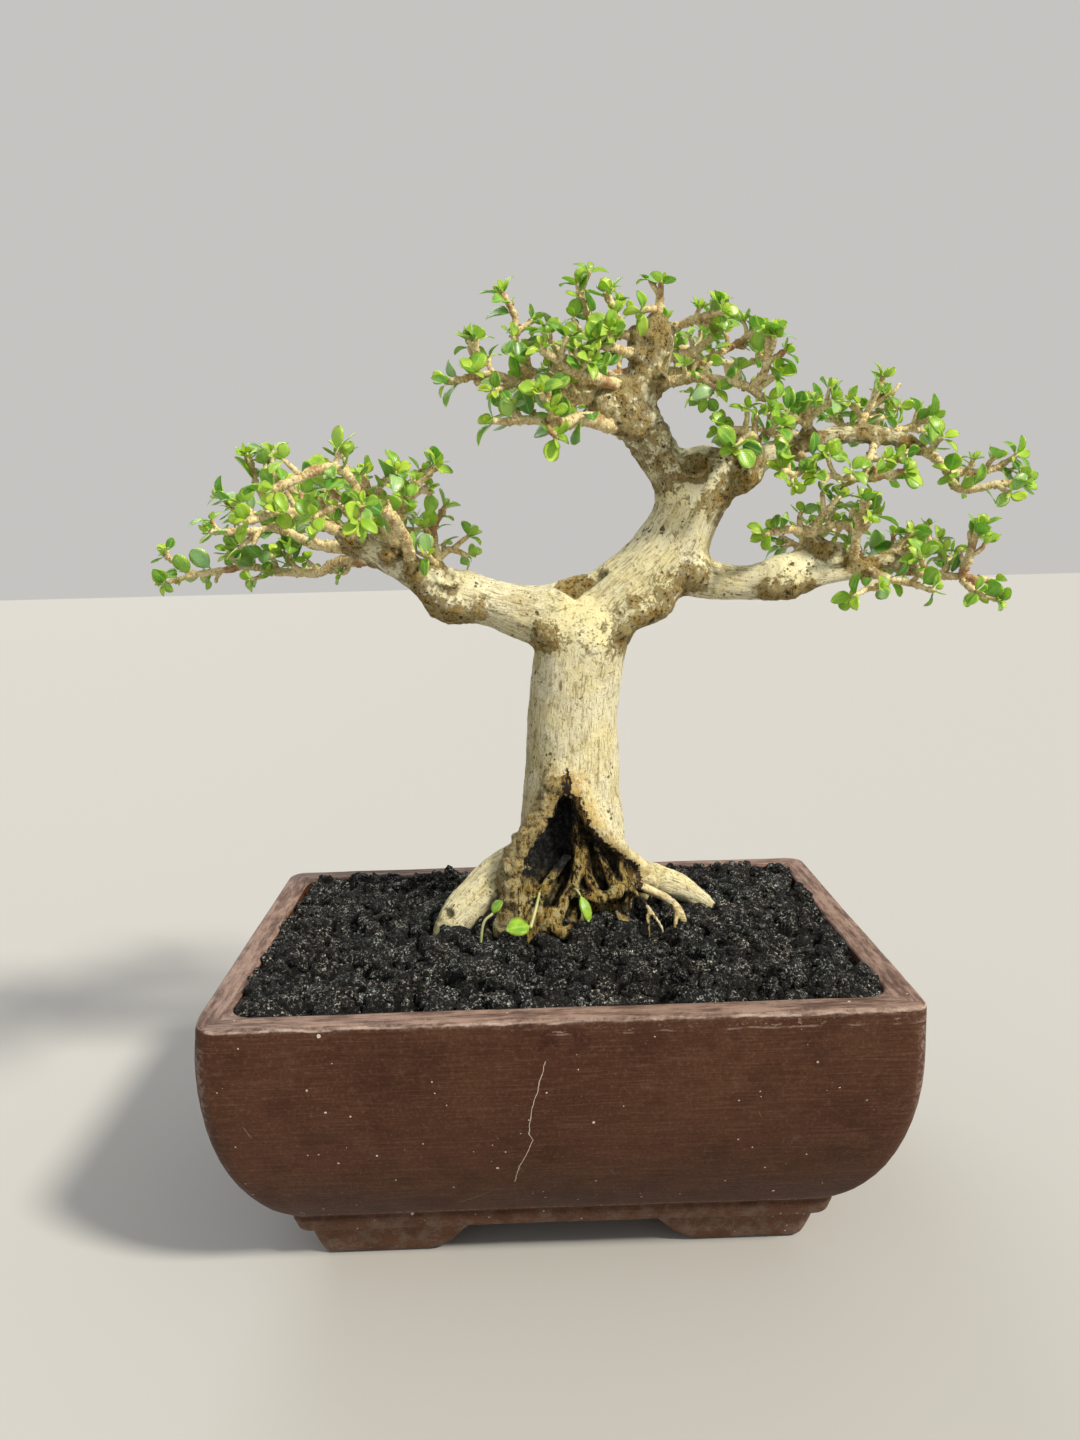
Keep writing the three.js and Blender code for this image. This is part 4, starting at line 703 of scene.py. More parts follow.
# %% The leafy stems: each twig's first and last half thickness, then the points that it goes through
STEMS = {
    "left_low": [(3.5, 1.6, (-69, -2, 291), (-92, 12, 289), (-102, 16, 285), (-123, 24, 286),
         (-136, 26, 288), (-163, 30, 285)), (1.5, 1.1, (-161, 30, 285), (-174, 30, 294)),
        (1.5, 1.1, (-160, 30, 285), (-173, 26, 282)), (1.8, 1.2, (-136, 26, 288), (-142, 20, 295)),
        (1.8, 1.2, (-111, 20, 285), (-116, 14, 294))],
    "left_straight": [(3.7, 1.6, (-80, -8, 298), (-90, -14, 304), (-104, -28, 311), (-118, -42, 307)),
        (2, 1.1, (-104, -28, 311), (-112, -32, 316), (-116, -32, 324), (-118, -30, 333)),
        (1.6, 1.1, (-109, -31, 315), (-107, -36, 323), (-108, -38, 334)),
        (1.6, 1.3, (-99, -23, 309), (-101, -16, 318))],
    "left_back": [(4, 1.4, (-79, -3, 296), (-89, 2, 296), (-102, 8, 298), (-116, 14, 304), (-129, 12, 304),
         (-146, 8, 304)), (2.2, 1.2, (-116, 14, 304), (-128, 20, 311), (-144, 22, 319)),
        (1.6, 1.2, (-125, 13, 304), (-136, 16, 297))],
    "left_front": [(3.2, 1.8, (-57, -5, 285), (-58, -20, 298), (-62, -32, 308), (-70, -42, 314),
         (-80, -60, 326), (-100, -70, 318)), (2, 1.3, (-70, -43, 314), (-82, -54, 311), (-88, -60, 308)),
        (1.7, 1.2, (-68, -40, 314), (-63, -46, 321), (-58, -50, 324)),
        (1.5, 1.1, (-80, -60, 326), (-78, -58, 332)),
        (1.5, 1.1, (-73, -50, 319), (-71, -64, 312), (-70, -72, 306))],
    "left_upright": [(3, 1.4, (-64, -5, 290), (-63, -14, 303), (-58, -20, 314), (-51, -24, 322),
         (-44, -26, 327)), (1.7, 1.3, (-58, -20, 314), (-49, -15, 320))],
    "left_right": [(3.8, 1.5, (-47, 0, 279), (-47, 4, 291), (-49, 6, 301), (-43, 8, 312)),
        (2.1, 1.3, (-47, 4, 290), (-41, 8, 294), (-34, 10, 291)), (1.8, 1.4, (-49, 6, 300), (-56, 12, 307)),
        (1.8, 1.3, (-47, 3, 287), (-50, -12, 292))],
    "left_rear": [(3.4, 1.5, (-58, 2, 284), (-69, 22, 296), (-82, 40, 306), (-97, 54, 314),
         (-108, 62, 320)), (1.9, 1.4, (-75, 30, 301), (-88, 44, 299)),
        (1.9, 1.4, (-86, 44, 308), (-84, 46, 319)), (1.6, 1.3, (-80, 37, 304), (-66, 44, 311))],
    "left_rear_high": [(3, 1.4, (-73, -2, 294), (-87, 18, 302), (-101, 32, 309), (-112, 40, 318),
         (-119, 42, 325)), (1.7, 1.3, (-101, 32, 309), (-94, 28, 321)),
        (1.6, 1.3, (-94, 25, 305), (-112, 25, 303))],
    "crown_left": [(3, 1.4, (47, 4, 381), (35, 0, 382), (24, -7, 383), (20, -10, 389), (16, -12, 399)),
        (1.9, 1.3, (35, 0, 382), (33, -2, 388), (29, -4, 397)), (1.7, 1.1, (26, -6, 383), (15, -15, 379))],
    "crown_top": [(3.6, 1.4, (50, 6, 381), (51, 4, 391), (52, 2, 402)),
        (1.6, 1.2, (51, 4, 393), (43, -6, 390))],
    "crown_right": [(3, 1.3, (50, 8, 382), (59, 10, 386), (66, 6, 388), (77, 0, 390)),
        (1.5, 1.1, (66, 6, 388), (74, 12, 387))],
    "crown_mid_left": [(2.8, 1.2, (44, 4, 373), (29, -10, 375), (21, -17, 374)),
        (1.5, 1.1, (31, -8, 375), (28, -20, 380))],
    "crown_mid_right": [(3, 1.5, (50, 10, 374), (67, 18, 377), (75, 22, 382), (79, 24, 388)),
        (1.8, 1.3, (67, 18, 377), (74, 16, 371))],
    "crown_far_right": [(3.5, 1.6, (46, 5, 362), (57, 0, 362), (66, -6, 363), (84, -14, 358),
         (92, -18, 352)), (2.2, 1.5, (87, -15, 357), (92, -19, 364), (92, -22, 376)),
        (1.7, 1.2, (67, -6, 363), (72, -14, 357)), (1.6, 1.2, (92, -20, 366), (99, -22, 370))],
    "crown_right_back": [(3, 1.5, (49, 10, 368), (64, 26, 370), (77, 34, 376), (91, 38, 383),
         (98, 38, 388)), (1.8, 1.4, (77, 34, 376), (92, 31, 373), (99, 29, 375)),
        (1.4, 1.1, (90, 38, 383), (104, 44, 388))],
    "crown_low_left": [(6, 1.6, (39, 3, 347), (29, -5, 345), (18, -13, 346), (8, -19, 344), (-1, -24, 345),
         (-20, -32, 344)), (2.2, 1.4, (7, -20, 344), (2, -30, 350), (-1, -38, 354)),
        (1.7, 1.2, (-1, -24, 345), (5, -27, 338)), (1.7, 1.2, (-8, -27, 345), (-13, -22, 350))],
    "crown_far_left": [(3.8, 1.4, (34, 0, 355), (14, -8, 356), (-1, -12, 358), (-12, -16, 362),
         (-23, -18, 364), (-39, -20, 361)), (2, 1.4, (-27, -18, 363), (-26, -16, 372), (-29, -16, 378)),
        (1.7, 1.3, (-12, -16, 361), (-19, -24, 357)), (2, 1.4, (-4, -13, 359), (-8, -22, 368))],
    "crown_tall_left": [(3, 1.4, (36, 7, 360), (13, 8, 364), (-2, 6, 368), (-10, 2, 374), (-10, 0, 389),
         (-15, 0, 399)), (1.7, 1.3, (-10, 1, 383), (-3, 4, 389)), (1.7, 1.3, (-2, 6, 368), (-9, 17, 367))],
    "crown_stub_left": [(3.4, 1.7, (38, 2, 360), (22, -16, 362), (13, -20, 364), (1, -26, 372)),
        (1.8, 1.3, (16, -18, 363), (6, -12, 376), (1, -10, 382)),
        (1.6, 1.2, (15, -19, 364), (19, -28, 367))],
    "crown_rear_left": [(3.3, 1.5, (40, 10, 362), (33, 32, 369), (22, 50, 376), (10, 64, 381)),
        (1.9, 1.4, (28, 41, 373), (25, 46, 384)), (1.9, 1.4, (22, 50, 376), (14, 56, 370)),
        (1.6, 1.3, (31, 36, 371), (44, 46, 374))],
    "crown_rear_right": [(3, 1.5, (48, 10, 375), (59, 34, 380), (70, 54, 384), (79, 66, 387)),
        (1.8, 1.4, (59, 34, 380), (57, 42, 389)), (1.6, 1.2, (70, 54, 384), (60, 64, 380))],
    "crown_rear_low": [(3.4, 1.5, (42, 10, 352), (30, 34, 357), (16, 52, 362), (1, 64, 365),
         (-10, 70, 369)), (1.9, 1.4, (16, 52, 362), (11, 58, 354)), (1.6, 1.2, (1, 64, 365), (4, 66, 375)),
        (1.6, 1.3, (24, 42, 359), (6, 40, 363))],
    "right_end": [(2.8, 1.8, (164, 18, 336), (173, 16, 331), (180, 14, 325), (186, 12, 315), (200, 8, 316),
         (211, 6, 317)), (2.2, 1.4, (181, 13, 321), (191, 17, 322), (203, 19, 323), (214, 18, 329)),
        (1.8, 1.3, (173, 16, 331), (176, 8, 337)), (1.8, 1.3, (168, 17, 334), (158, 8, 328))],
    "right_vertical": [(3.1, 2.3, (120, 15, 337), (117, 10, 344), (116, 8, 351)),
        (1.8, 1.3, (117, 10, 344), (106, 2, 349)), (1.8, 1.3, (117, 10, 346), (126, 3, 353))],
    "right_twig": [(2.2, 1.3, (143, 17, 339), (147, 24, 348), (153, 26, 359), (155, 26, 365)),
        (1.6, 1.2, (149, 25, 352), (159, 30, 358), (165, 32, 353)),
        (1.6, 1.2, (147, 24, 348), (138, 20, 354))],
    "right_under": [(2.3, 1.3, (151, 17, 339), (144, 6, 329), (141, 0, 320), (154, -7, 322)),
        (1.6, 1.3, (141, 0, 320), (130, -4, 320), (117, -8, 322))],
    "right_under_near": [(2.7, 1.3, (112, 14, 334), (114, 2, 328), (109, -4, 322), (101, -12, 324)),
        (1.6, 1.2, (113, 2, 328), (122, -6, 330))],
    "right_inner": [(3.4, 1.5, (91, 10, 329), (92, -2, 336), (85, -10, 340), (75, -15, 341)),
        (1.7, 1.3, (92, -2, 336), (99, -9, 342)), (1.7, 1.2, (86, -9, 339), (80, -20, 333))],
    "right_rear": [(3.2, 1.4, (101, 16, 332), (112, 34, 341), (122, 46, 350), (133, 54, 356)),
        (1.8, 1.4, (112, 34, 341), (103, 46, 346)), (1.6, 1.3, (118, 41, 346), (128, 40, 357))],
    "right_rear_mid": [(2.7, 1.4, (131, 18, 339), (145, 42, 345), (159, 58, 350), (170, 66, 352)),
        (1.9, 1.4, (145, 42, 345), (141, 56, 351)), (1.6, 1.3, (152, 50, 348), (160, 46, 357))],
    "right_rear_end": [(2.4, 1.3, (156, 19, 339), (171, 40, 344), (184, 52, 344)),
        (1.6, 1.3, (168, 36, 343), (182, 34, 348))],
    "low_end": [(2.6, 1.6, (159, 4, 281), (175, 0, 277), (185, -2, 276), (197, -4, 274)),
        (2.3, 1.8, (183, -2, 276), (185, -6, 286), (188, -8, 298)),
        (1.8, 1.3, (183, -2, 275), (188, -10, 269), (194, -12, 267)),
        (1.8, 1.3, (169, 2, 279), (162, -9, 286)), (1.8, 1.3, (176, 0, 277), (183, 9, 285))],
    "low_stub": [(3.6, 1.5, (124, 9, 288), (118, 6, 297), (106, -4, 299), (94, -10, 297)),
        (2.1, 1.4, (118, 5, 297), (121, 2, 303), (128, -3, 312)),
        (2, 1.4, (119, 6, 296), (131, 14, 300), (140, 17, 298))],
    "low_up": [(2.6, 1.4, (137, 3, 281), (135, -5, 292), (136, -7, 302), (137, -9, 310)),
        (1.5, 1.2, (135, -6, 299), (144, -3, 304))],
    "low_under": [(2.6, 1.4, (141, 2, 281), (147, -8, 277), (155, -12, 275), (165, -17, 272)),
        (1.8, 1.3, (149, -9, 277), (138, -20, 274), (128, -27, 271))],
    "low_top": [(2.2, 1.4, (152, 4, 284), (160, 15, 290), (168, 19, 294)),
        (1.7, 1.3, (159, 14, 289), (172, 24, 286), (183, 27, 292))],
    "low_rear": [(3.5, 1.4, (112, 8, 282), (121, 32, 290), (133, 48, 297), (145, 58, 302)),
        (1.9, 1.4, (121, 32, 290), (115, 46, 295)), (1.6, 1.3, (127, 40, 293), (137, 36, 302))],
    "low_rear_end": [(2.6, 1.4, (136, 5, 281), (150, 29, 283), (166, 44, 286), (179, 54, 290)),
        (1.9, 1.4, (150, 29, 283), (146, 43, 288)), (1.6, 1.2, (158, 37, 285), (170, 36, 281))],
}

# %% The field
VOXEL = 1.15
REACH = 8.0
FIELD_LOW = np.array([-100.0, -42.0, 98.0])
FIELD_HIGH = np.array([178.0, 62.0, 396.0])
AXES = [np.arange(low, high, VOXEL) for low, high in zip(FIELD_LOW, FIELD_HIGH)]
field = np.full([len(axis) for axis in AXES], REACH, np.float32)


def window(low, high):
    """The part of the grid between two corners: its slices and the coordinates along each axis."""
    cuts = [slice(*np.searchsorted(axis, (a, b))) for axis, a, b in zip(AXES, low, high)]
    x, y, z = (axis[cut] for axis, cut in zip(AXES, cuts))
    return tuple(cuts), x[:, None, None], y[None, :, None], z[None, None, :]


def blend_in(now, new, blend):
    """The smaller of two distances, rounded off where they differ by less than blend."""
    overlap = np.maximum(blend - np.abs(now - new), 0)
    return np.minimum(now, new) - overlap**2 / (4 * blend)


def add_limb(rows, blend, step=3.0, carve=False):
    """Joins a limb to the field, one short straight piece of it at a time, or carves it out."""
    line = smooth_line(rows, step)
    margin = line[:, 3:].max() + REACH
    cuts, *_ = window(line[:, :3].min(0) - margin, line[:, :3].max(0) + margin)
    limb = np.full(field[cuts].shape, REACH, np.float32)
    for start, end in zip(line, line[1:]):
        wide = max(start[3], end[3]) + REACH
        near, x, y, z = window(np.minimum(start, end)[:3] - wide, np.maximum(start, end)[:3] + wide)
        inner = tuple(slice(a.start - b.start, a.stop - b.start) for a, b in zip(near, cuts))
        way = end - start
        dx, dy, dz = x - start[0], y - start[1], z - start[2]
        along = (dx * way[0] + dy * way[1] + dz * way[2]) / max(way[:3] @ way[:3], 1e-6)
        along = np.clip(along, 0, 1)
        gap = np.sqrt((dx - along * way[0]) ** 2 + (dy - along * way[1]) ** 2 + (dz - along * way[2]) ** 2)
        limb[inner] = np.minimum(limb[inner], gap - start[3] - along * way[3])
    field[cuts] = -blend_in(-field[cuts], limb, blend) if carve else blend_in(field[cuts], limb, blend)


def add_ball(place, radius, blend):
    add_limb([(*place, radius), (place[0], place[1], place[2] + 0.2, radius)], blend)


def carve_ball(place, radius, blend):
    """Takes a ball out of the wood, with its rim rounded off."""
    cuts, x, y, z = window(np.array(place) - radius - blend, np.array(place) + radius + blend)
    gap = np.sqrt((x - place[0]) ** 2 + (y - place[1]) ** 2 + (z - place[2]) ** 2) - radius
    field[cuts] = -blend_in(-field[cuts], gap, blend)


# %% Limbs, roots and the collars of the leafy stems
for rows in LIMBS.values():
    add_limb(rows, blend=6.0)
for rows in ROOTS.values():
    add_limb(rows, blend=7.0)

wood_line = np.vstack([smooth_line(rows, 2.0) for rows in LIMBS.values()])
COLLARS = []
for twigs in STEMS.values():
    thick, _, foot, after, *_ = twigs[0]
    foot = np.array(foot, float)
    way = unit(after - foot)
    inside = wood_line[np.argmin(np.linalg.norm(wood_line[:, :3] - foot, axis=1)), :3]
    add_limb([(*inside, thick), (*foot, 1.2 * thick), (*(foot + 7 * way), 0.95 * thick)], blend=4.0, step=2.0)
    COLLARS.append((foot + 3 * way, thick))
print("field:", field.shape, "collars:", len(COLLARS))

# %% [markdown]
# The hollow is an upturned V in the trunk's foot, burnt black in its upper part. It is cut out of the field,
# and then the ridges of dead wood and the lips of callus that the tree grew round the wound are added back,
# so they stand in and round the cut as they do on the tree. A fan of rotten strands fills the lower part, and
# small balls of wood, scattered by a seeded rule, make the wound's left edge and its top gnarled.

# %% The hollow, its lips and its strands
HOLLOW = [(189, 6, 8), (180, 2, 11), (172, -2.5, 14.5), (165, -7.5, 20), (158, -11.5, 27), (151, -13.5, 35),
          (144, -15, 38), (110, -15, 38)]
HOLLOW_BACK = -2.0


def hollow_edges(z):
    """The V's left and right edge at each height."""
    heights, lefts, rights = (np.array(column, float) for column in zip(*reversed(HOLLOW)))
    return np.interp(z, heights, lefts), np.interp(z, heights, rights)


def carve_hollow():
    """Cuts the V, which is deepest along its middle."""
    cuts, x, y, z = window((-30, -40, 110), (50, 10, 190))
    left, right = hollow_edges(z)
    middle, half = (left + right) / 2, np.maximum((right - left) / 2, 0.5)
    across = np.abs(x - middle) / half
    back = HOLLOW_BACK - 7 * np.clip(across, 0, 1.2) ** 2
    gap = np.maximum(np.maximum(np.abs(x - middle) - half, y - back), z - 190)
    field[cuts] = -blend_in(-field[cuts], gap, 2.0)


for rows in LIPS.values():
    add_limb(rows, blend=6.0, step=2.0)
carve_hollow()
for rows in WOUND_LIPS.values():
    add_limb(rows, blend=2.0, step=2.0)
fan = seeded_run(77)
for number in range(20):
    low, depth = -13 + 2.3 * number + fan(-1.5, 1.5), fan(-11, -4)
    high, top = 8 + 0.35 * (low - 10) + fan(-2, 2), fan(143, 160)
    rows = [(high, depth + 3, top, 0.8),
            ((low + high) / 2 + fan(-2, 2), depth, (top + 128) / 2, fan(1.3, 2.2)),
            (low, depth - 4, 126, fan(1.6, 2.6))]
    add_limb(rows, blend=1.2, step=2.0)
GAPS_AT_THE_FOOT = [
    [(16, -9, 128, 6), (24, -7, 129, 7), (31, -6, 128, 5)],
    [(-21, -13, 141, 2), (-25, -15, 134, 2.6), (-27, -17, 126, 3)],
]
for rows in GAPS_AT_THE_FOOT:
    add_limb(rows, blend=2.0, carve=True)
for rows in THIN_ROOTS.values():
    add_limb(rows, blend=1.2, step=1.5)

# %% Knots, gnarls and scars
KNOTS = [
    ((-43, -1, 271), 7.5), ((-38, -4, 268), 4.5), ((-49, -4, 277), 4), ((1, -4, 256), 5), ((-30, -5, 268), 3),
    ((38, -3, 264), 6.5), ((45, -1, 266), 6), ((51, 0, 268), 5), ((32, -4, 258), 4.5),
    ((52, -3, 275), 3.5), ((66, 2, 281), 5), ((84, 4, 326), 5), ((57, 4, 322), 4.5), ((53, 2, 331), 3.5),
    ((76, 2, 320), 5), ((88, 7, 320), 4.5), ((93, 9, 323), 3), ((40, 0, 343), 4), ((35, 1, 349), 4.5),
    ((50, 4, 341), 4), ((100, 1, 273), 3), ((109, 1, 273.5), 3), ((79.5, 3, 327.5), 5.2),
    ((33, -1, 351), 6.5), ((26, -5, 351), 5.5), ((46, 4, 382), 4.5), ((52, 5, 380), 4), ((43, 9, 380), 4.5),
]
for place, radius in KNOTS:
    add_ball(place, radius, 5.0)

gnarl = seeded_run(41)
for _ in range(50):
    z = gnarl(124, 158)
    x = -19 + 0.28 * (z - 140) + gnarl(-3, 4)
    add_ball((x, -13.5 - 0.12 * (150 - z), z), gnarl(1.2, 2.4), 2.5)
for _ in range(24):
    x = gnarl(-7, 9)
    add_ball((x, -12.5 + 0.02 * (x - 8) ** 2, gnarl(188, 197) - 0.9 * abs(x - 5)), gnarl(1.2, 2.2), 2.5)

SCARS = [
    # place, opening's radius, lip's thickness, way that it faces
    ((-42, -8, 282), 3.3, 1.3, (0.1, -0.7, 0.7)),
    ((-62, -10, 292), 2.7, 1.4, (-0.3, -0.9, 0.3)),
    ((65, -3, 326.5), 5.6, 1.4, (-0.2, -0.65, 0.75)),
    ((-46.5, -14, 133), 2.4, 1.0, (-0.45, -0.8, 0.35)),
]


def add_scar(place, opening, lip, facing):
    """A ring of callus round a small pit, where a branch was cut off."""
    facing = unit(np.array(facing))
    side = unit(np.cross(facing, (0.3, 0.2, 0.9)))
    other = np.cross(facing, side)
    ring = [(*(np.array(place) + (opening + lip * 0.6) * (np.cos(a) * side + np.sin(a) * other)), lip)
            for a in np.linspace(0, 2 * np.pi, 11)]
    add_limb(ring, blend=2.0, step=1.5)
    carve_ball(np.array(place) + 0.5 * opening * facing, opening * 1.05, 1.2)


for scar in SCARS:
    add_scar(*scar)

# %% Splits in the leader, and the forks
LEADER_SPLITS = [
    [(51, -1, 386, 0.9), (53, 0, 376, 0.9), (52, 0, 366, 0.5)],
    [(46, 0, 386, 0.8), (45, 0, 378, 0.5)],
    [(57, 4, 384, 1.0), (55, 5, 372, 0.6)],
    [(40, 3, 386, 0.8), (39, 4, 378, 0.5)],
]
for rows in LEADER_SPLITS:
    add_limb(rows, blend=1.0, step=1.5, carve=True)
FORK_NOTCH = (13.2, 269.8)
cuts, x, y, z = window((0, -16, 262), (28, 8, 286))
notch = np.maximum(0.8 * (FORK_NOTCH[1] + 0.75 * np.abs(x - FORK_NOTCH[0]) - z), y - 3.5)
notch = np.maximum(notch, z - 282)
field[cuts] = -blend_in(-field[cuts], notch, 1.0)
FORK_RIDGES = [
    [(0, 9, 271, 4), (8, 9, 276.5, 2.6), (14, 9, 277.6, 2.4), (21, 9, 277.2, 2.4), (29, 9, 276, 4)],
    [(52, 6, 326, 3), (56, 14, 330, 3.4), (66, 19, 331, 3), (77, 17, 330, 3), (83, 10, 328, 3)],
]
for rows in FORK_RIDGES:
    add_limb(rows, blend=3.0)

# %% [markdown]
# Now the skin. Surface nets put one point in each grid cell that the zero level passes through, at the mean
# of the crossings on the cell's edges, and lay one four-sided face across each crossed edge. The result is an
# even mesh of small quads, closed everywhere, which is what the bark's relief needs.

# %% The skin of the wood
def skin_of(values, low, voxel):
    """Points and faces of the surface where values cross zero."""
    cells = np.array(values.shape) - 1
    sums, quads = [], []
    for axis in range(3):
        first, second = (axis + 1) % 3, (axis + 2) % 3
        near = np.take(values, range(values.shape[axis] - 1), axis)
        far = np.take(values, range(1, values.shape[axis]), axis)
        spots = np.argwhere((near < 0) != (far < 0))
        start, end = near[tuple(spots.T)], far[tuple(spots.T)]
        crossing = spots.astype(float)
        crossing[:, axis] += start / (start - end)
        corners = []
        for one, two in ((0, 0), (1, 0), (1, 1), (0, 1)):
            cell = spots.copy()
            cell[:, first] -= one
            cell[:, second] -= two
            corners.append(np.ravel_multi_index(cell.T, cells))
            sums.append((corners[-1], crossing))
        quad = np.column_stack(corners)
        quads.append(np.where((start < 0)[:, None], quad, quad[:, ::-1]))
    owner = np.concatenate([cell for cell, _ in sums])
    crossing = np.concatenate([spot for _, spot in sums])
    kept, index = np.unique(owner, return_inverse=True)
    count = np.bincount(index)
    points = np.column_stack([np.bincount(index, crossing[:, axis]) / count for axis in range(3)])
    return low + voxel * points, np.searchsorted(kept, np.concatenate(quads))


def value_at(points):
    """The field's value at any points, mixed from the eight grid points round each."""
    where = (points - FIELD_LOW) / VOXEL
    base = np.clip(np.floor(where).astype(int), 0, np.array(field.shape) - 2)
    share = where - base
    total = np.zeros(len(points))
    for corner in np.ndindex(2, 2, 2):
        weight = np.prod(np.where(corner, share, 1 - share), axis=1)
        total += weight * field[tuple((base + corner).T)]
    return total


def field_round(points):
    """The field's value at any points, also those past its border."""
    return value_at(np.clip(points, FIELD_LOW + 2, FIELD_HIGH - 2))


def slope_at(points, step=1.2):
    """The way out of the wood at any points."""
    offsets = np.eye(3) * step
    slope = np.column_stack([value_at(points + offset) - value_at(points - offset) for offset in offsets])
    return slope / np.maximum(np.linalg.norm(slope, axis=1), 1e-6)[:, None]


for axis in range(3):
    for side in (0, -1):
        np.moveaxis(field, axis, 0)[side] = 0.5
wood_points, wood_faces = skin_of(field, FIELD_LOW, VOXEL)
for _ in range(2):
    wood_points -= 0.8 * value_at(wood_points)[:, None] * slope_at(wood_points)
wood_normals = slope_at(wood_points, 1.6)
print("wood:", len(wood_points), "points", len(wood_faces), "faces")

# %% [markdown]
# Bark runs along a limb, so its pattern needs to know which way that is. Each point looks up the nearest limb
# and gets coordinates that follow it: how far along, and where round. The distance along is squeezed, so that
# noise on these coordinates makes streaks. Where two limbs' coordinates meet, a streak would break off, so a
# mask marks those seams and the streaks fade there. More masks say where a joint's bark is rough, and where
# the wood is enclosed: a short step out from the skin meets other wood there, so the material paints shade.

# %% Coordinates along the limbs
def follow_limbs(points, limbs):
    """For each point its streak coordinates, and the gaps to the nearest and second nearest limb."""
    nearest = np.full(len(points), 1e3)
    second = np.full(len(points), 1e3)
    grain = np.zeros((len(points), 3))
    for rows in limbs:
        line = smooth_line(rows, 5.0)
        gap, here = np.full(len(points), 1e3), np.zeros((len(points), 3))
        side = np.cross((0.31, 0.83, 0.46), (line[1] - line[0])[:3])
        travelled = 0.0
        for start, end in zip(line, line[1:]):
            way = (end - start)[:3]
            length = np.linalg.norm(way)
            way /= length
            side = square_to(way, side)
            other = np.cross(way, side)
            offset = points - start[:3]
            along = np.clip(offset @ way, 0, length)
            out = offset - along[:, None] * way
            distance = np.linalg.norm(out, axis=1) - start[3] - (end[3] - start[3]) * along / length
            closer = distance < gap
            gap[closer] = distance[closer]
            spot = np.column_stack([out @ side, out @ other, 0.2 * (travelled + along)])
            here[closer] = spot[closer]
            travelled += length
        closer = gap < nearest
        second = np.where(closer, nearest, np.minimum(second, gap))
        nearest = np.minimum(nearest, gap)
        grain[closer] = here[closer] + 40.0 * len(rows)
    return grain, nearest, second


def jumps(values):
    """For each point of the wood, how fast values change along the mesh's edges there."""
    fastest = np.zeros(len(wood_points))
    for one, two in zip(wood_faces.T, np.roll(wood_faces, 1, axis=1).T):
        change = np.linalg.norm(values[one] - values[two], axis=1)
        change /= np.linalg.norm(wood_points[one] - wood_points[two], axis=1) + 0.1
        np.maximum.at(fastest, one, change)
        np.maximum.at(fastest, two, change)
    return fastest


def near(place, start, full, weights=1.0):
    """How near each point of the wood is to a place: 0 from start on, 1 within full."""
    return clear_step(np.linalg.norm((wood_points - place) * weights, axis=1), start, full)


# %% Masks for the seams, the painted shade in recesses and the joints
x, y, z = wood_points.T
grain, nearest, second = follow_limbs(wood_points, [*LIMBS.values(), *ROOTS.values()])
seam = np.maximum(clear_step(second - nearest, 4.0, 1.5), clear_step(jumps(grain), 1.6, 3.0))
print("points on a seam of the streaks:", int((seam > 0.5).sum()))
# painted shade in recesses: how much other wood stands a short step, and a longer one, out from the skin
sheltered = np.zeros(len(wood_points))
for away, free, closed, most in ((4.0, 3.3, 1.3, 1.0), (8.0, 0.65 * REACH, 0.2 * REACH, 0.6)):
    wood_there = clear_step(field_round(wood_points + away * wood_normals), free, closed)
    sheltered = np.maximum(sheltered, most * wood_there)
print("sheltered points:", int((sheltered > 0.5).sum()))
underside = clear_step(wood_normals[:, 2], 0.25, -0.5)
joint = clear_step(second - nearest, 6.0, 1.0) * clear_step(z, 168, 215) * (0.08 + 0.92 * underside)
for place, radius in KNOTS:
    joint = np.maximum(joint, near(place, radius + 6, radius) * (0.55 + 0.45 * underside))
for place, radius in COLLARS:
    joint = np.maximum(joint, 0.75 * near(place, radius + 7, radius + 2))
leader = clear_step(z, 318, 332) * clear_step(x, 66, 58)
joint = np.maximum(joint, leader * (0.18 + 0.42 * clear_step(wood_normals[:, 0], 0.5, -0.5)))
joint = np.maximum(joint, leader * clear_step(z, 374, 381))
joint *= 1 - 0.5 * leader * clear_step(x, 52, 58)
joint = np.maximum(joint, near((13.5, 5, 275), 9, 6, (0.8, 0.8, 1)) * clear_step(y, 0, 3))
joint = np.maximum(joint, near((66, -4, 327), 9, 6))

# %% Masks for the hollow and the scars
left_edge, right_edge = hollow_edges(z)
gap = np.minimum(x - left_edge, right_edge - x)
within = clear_step(gap, -1.2, 0.8) * clear_step(y, 4, 0) * clear_step(z, 191, 187)
hollow = within * clear_step(z, 112, 118) * np.maximum(clear_step(y, -15.5, -12), clear_step(z, 158, 150))
char_line = 150 + 4 * lumps(wood_points, 7, 3) + 25 * clear_step(x, 8, 11)
rotten = clear_step(z, char_line + 4, char_line - 5)
right_strands = clear_step(np.abs(x - 24), 8, 3) * clear_step(z, 160, 154) * clear_step(y, -7, -10)
rotten = np.maximum(rotten, right_strands)
for place in WOUND_LIPS["middle_ridge"][:4]:
    rotten = np.maximum(rotten, near(place[:3], 4.0, 2.2))
pits = np.zeros(len(wood_points))
for place, opening, _, facing in SCARS:
    spot = np.array(place) + 0.3 * opening * np.array(facing)
    pits = np.maximum(pits, near(spot, opening * 1.1, opening * 0.3))
for name, mask in {"hollow": hollow, "joint": joint, "pits": pits}.items():
    print(name, int((mask > 0.5).sum()))

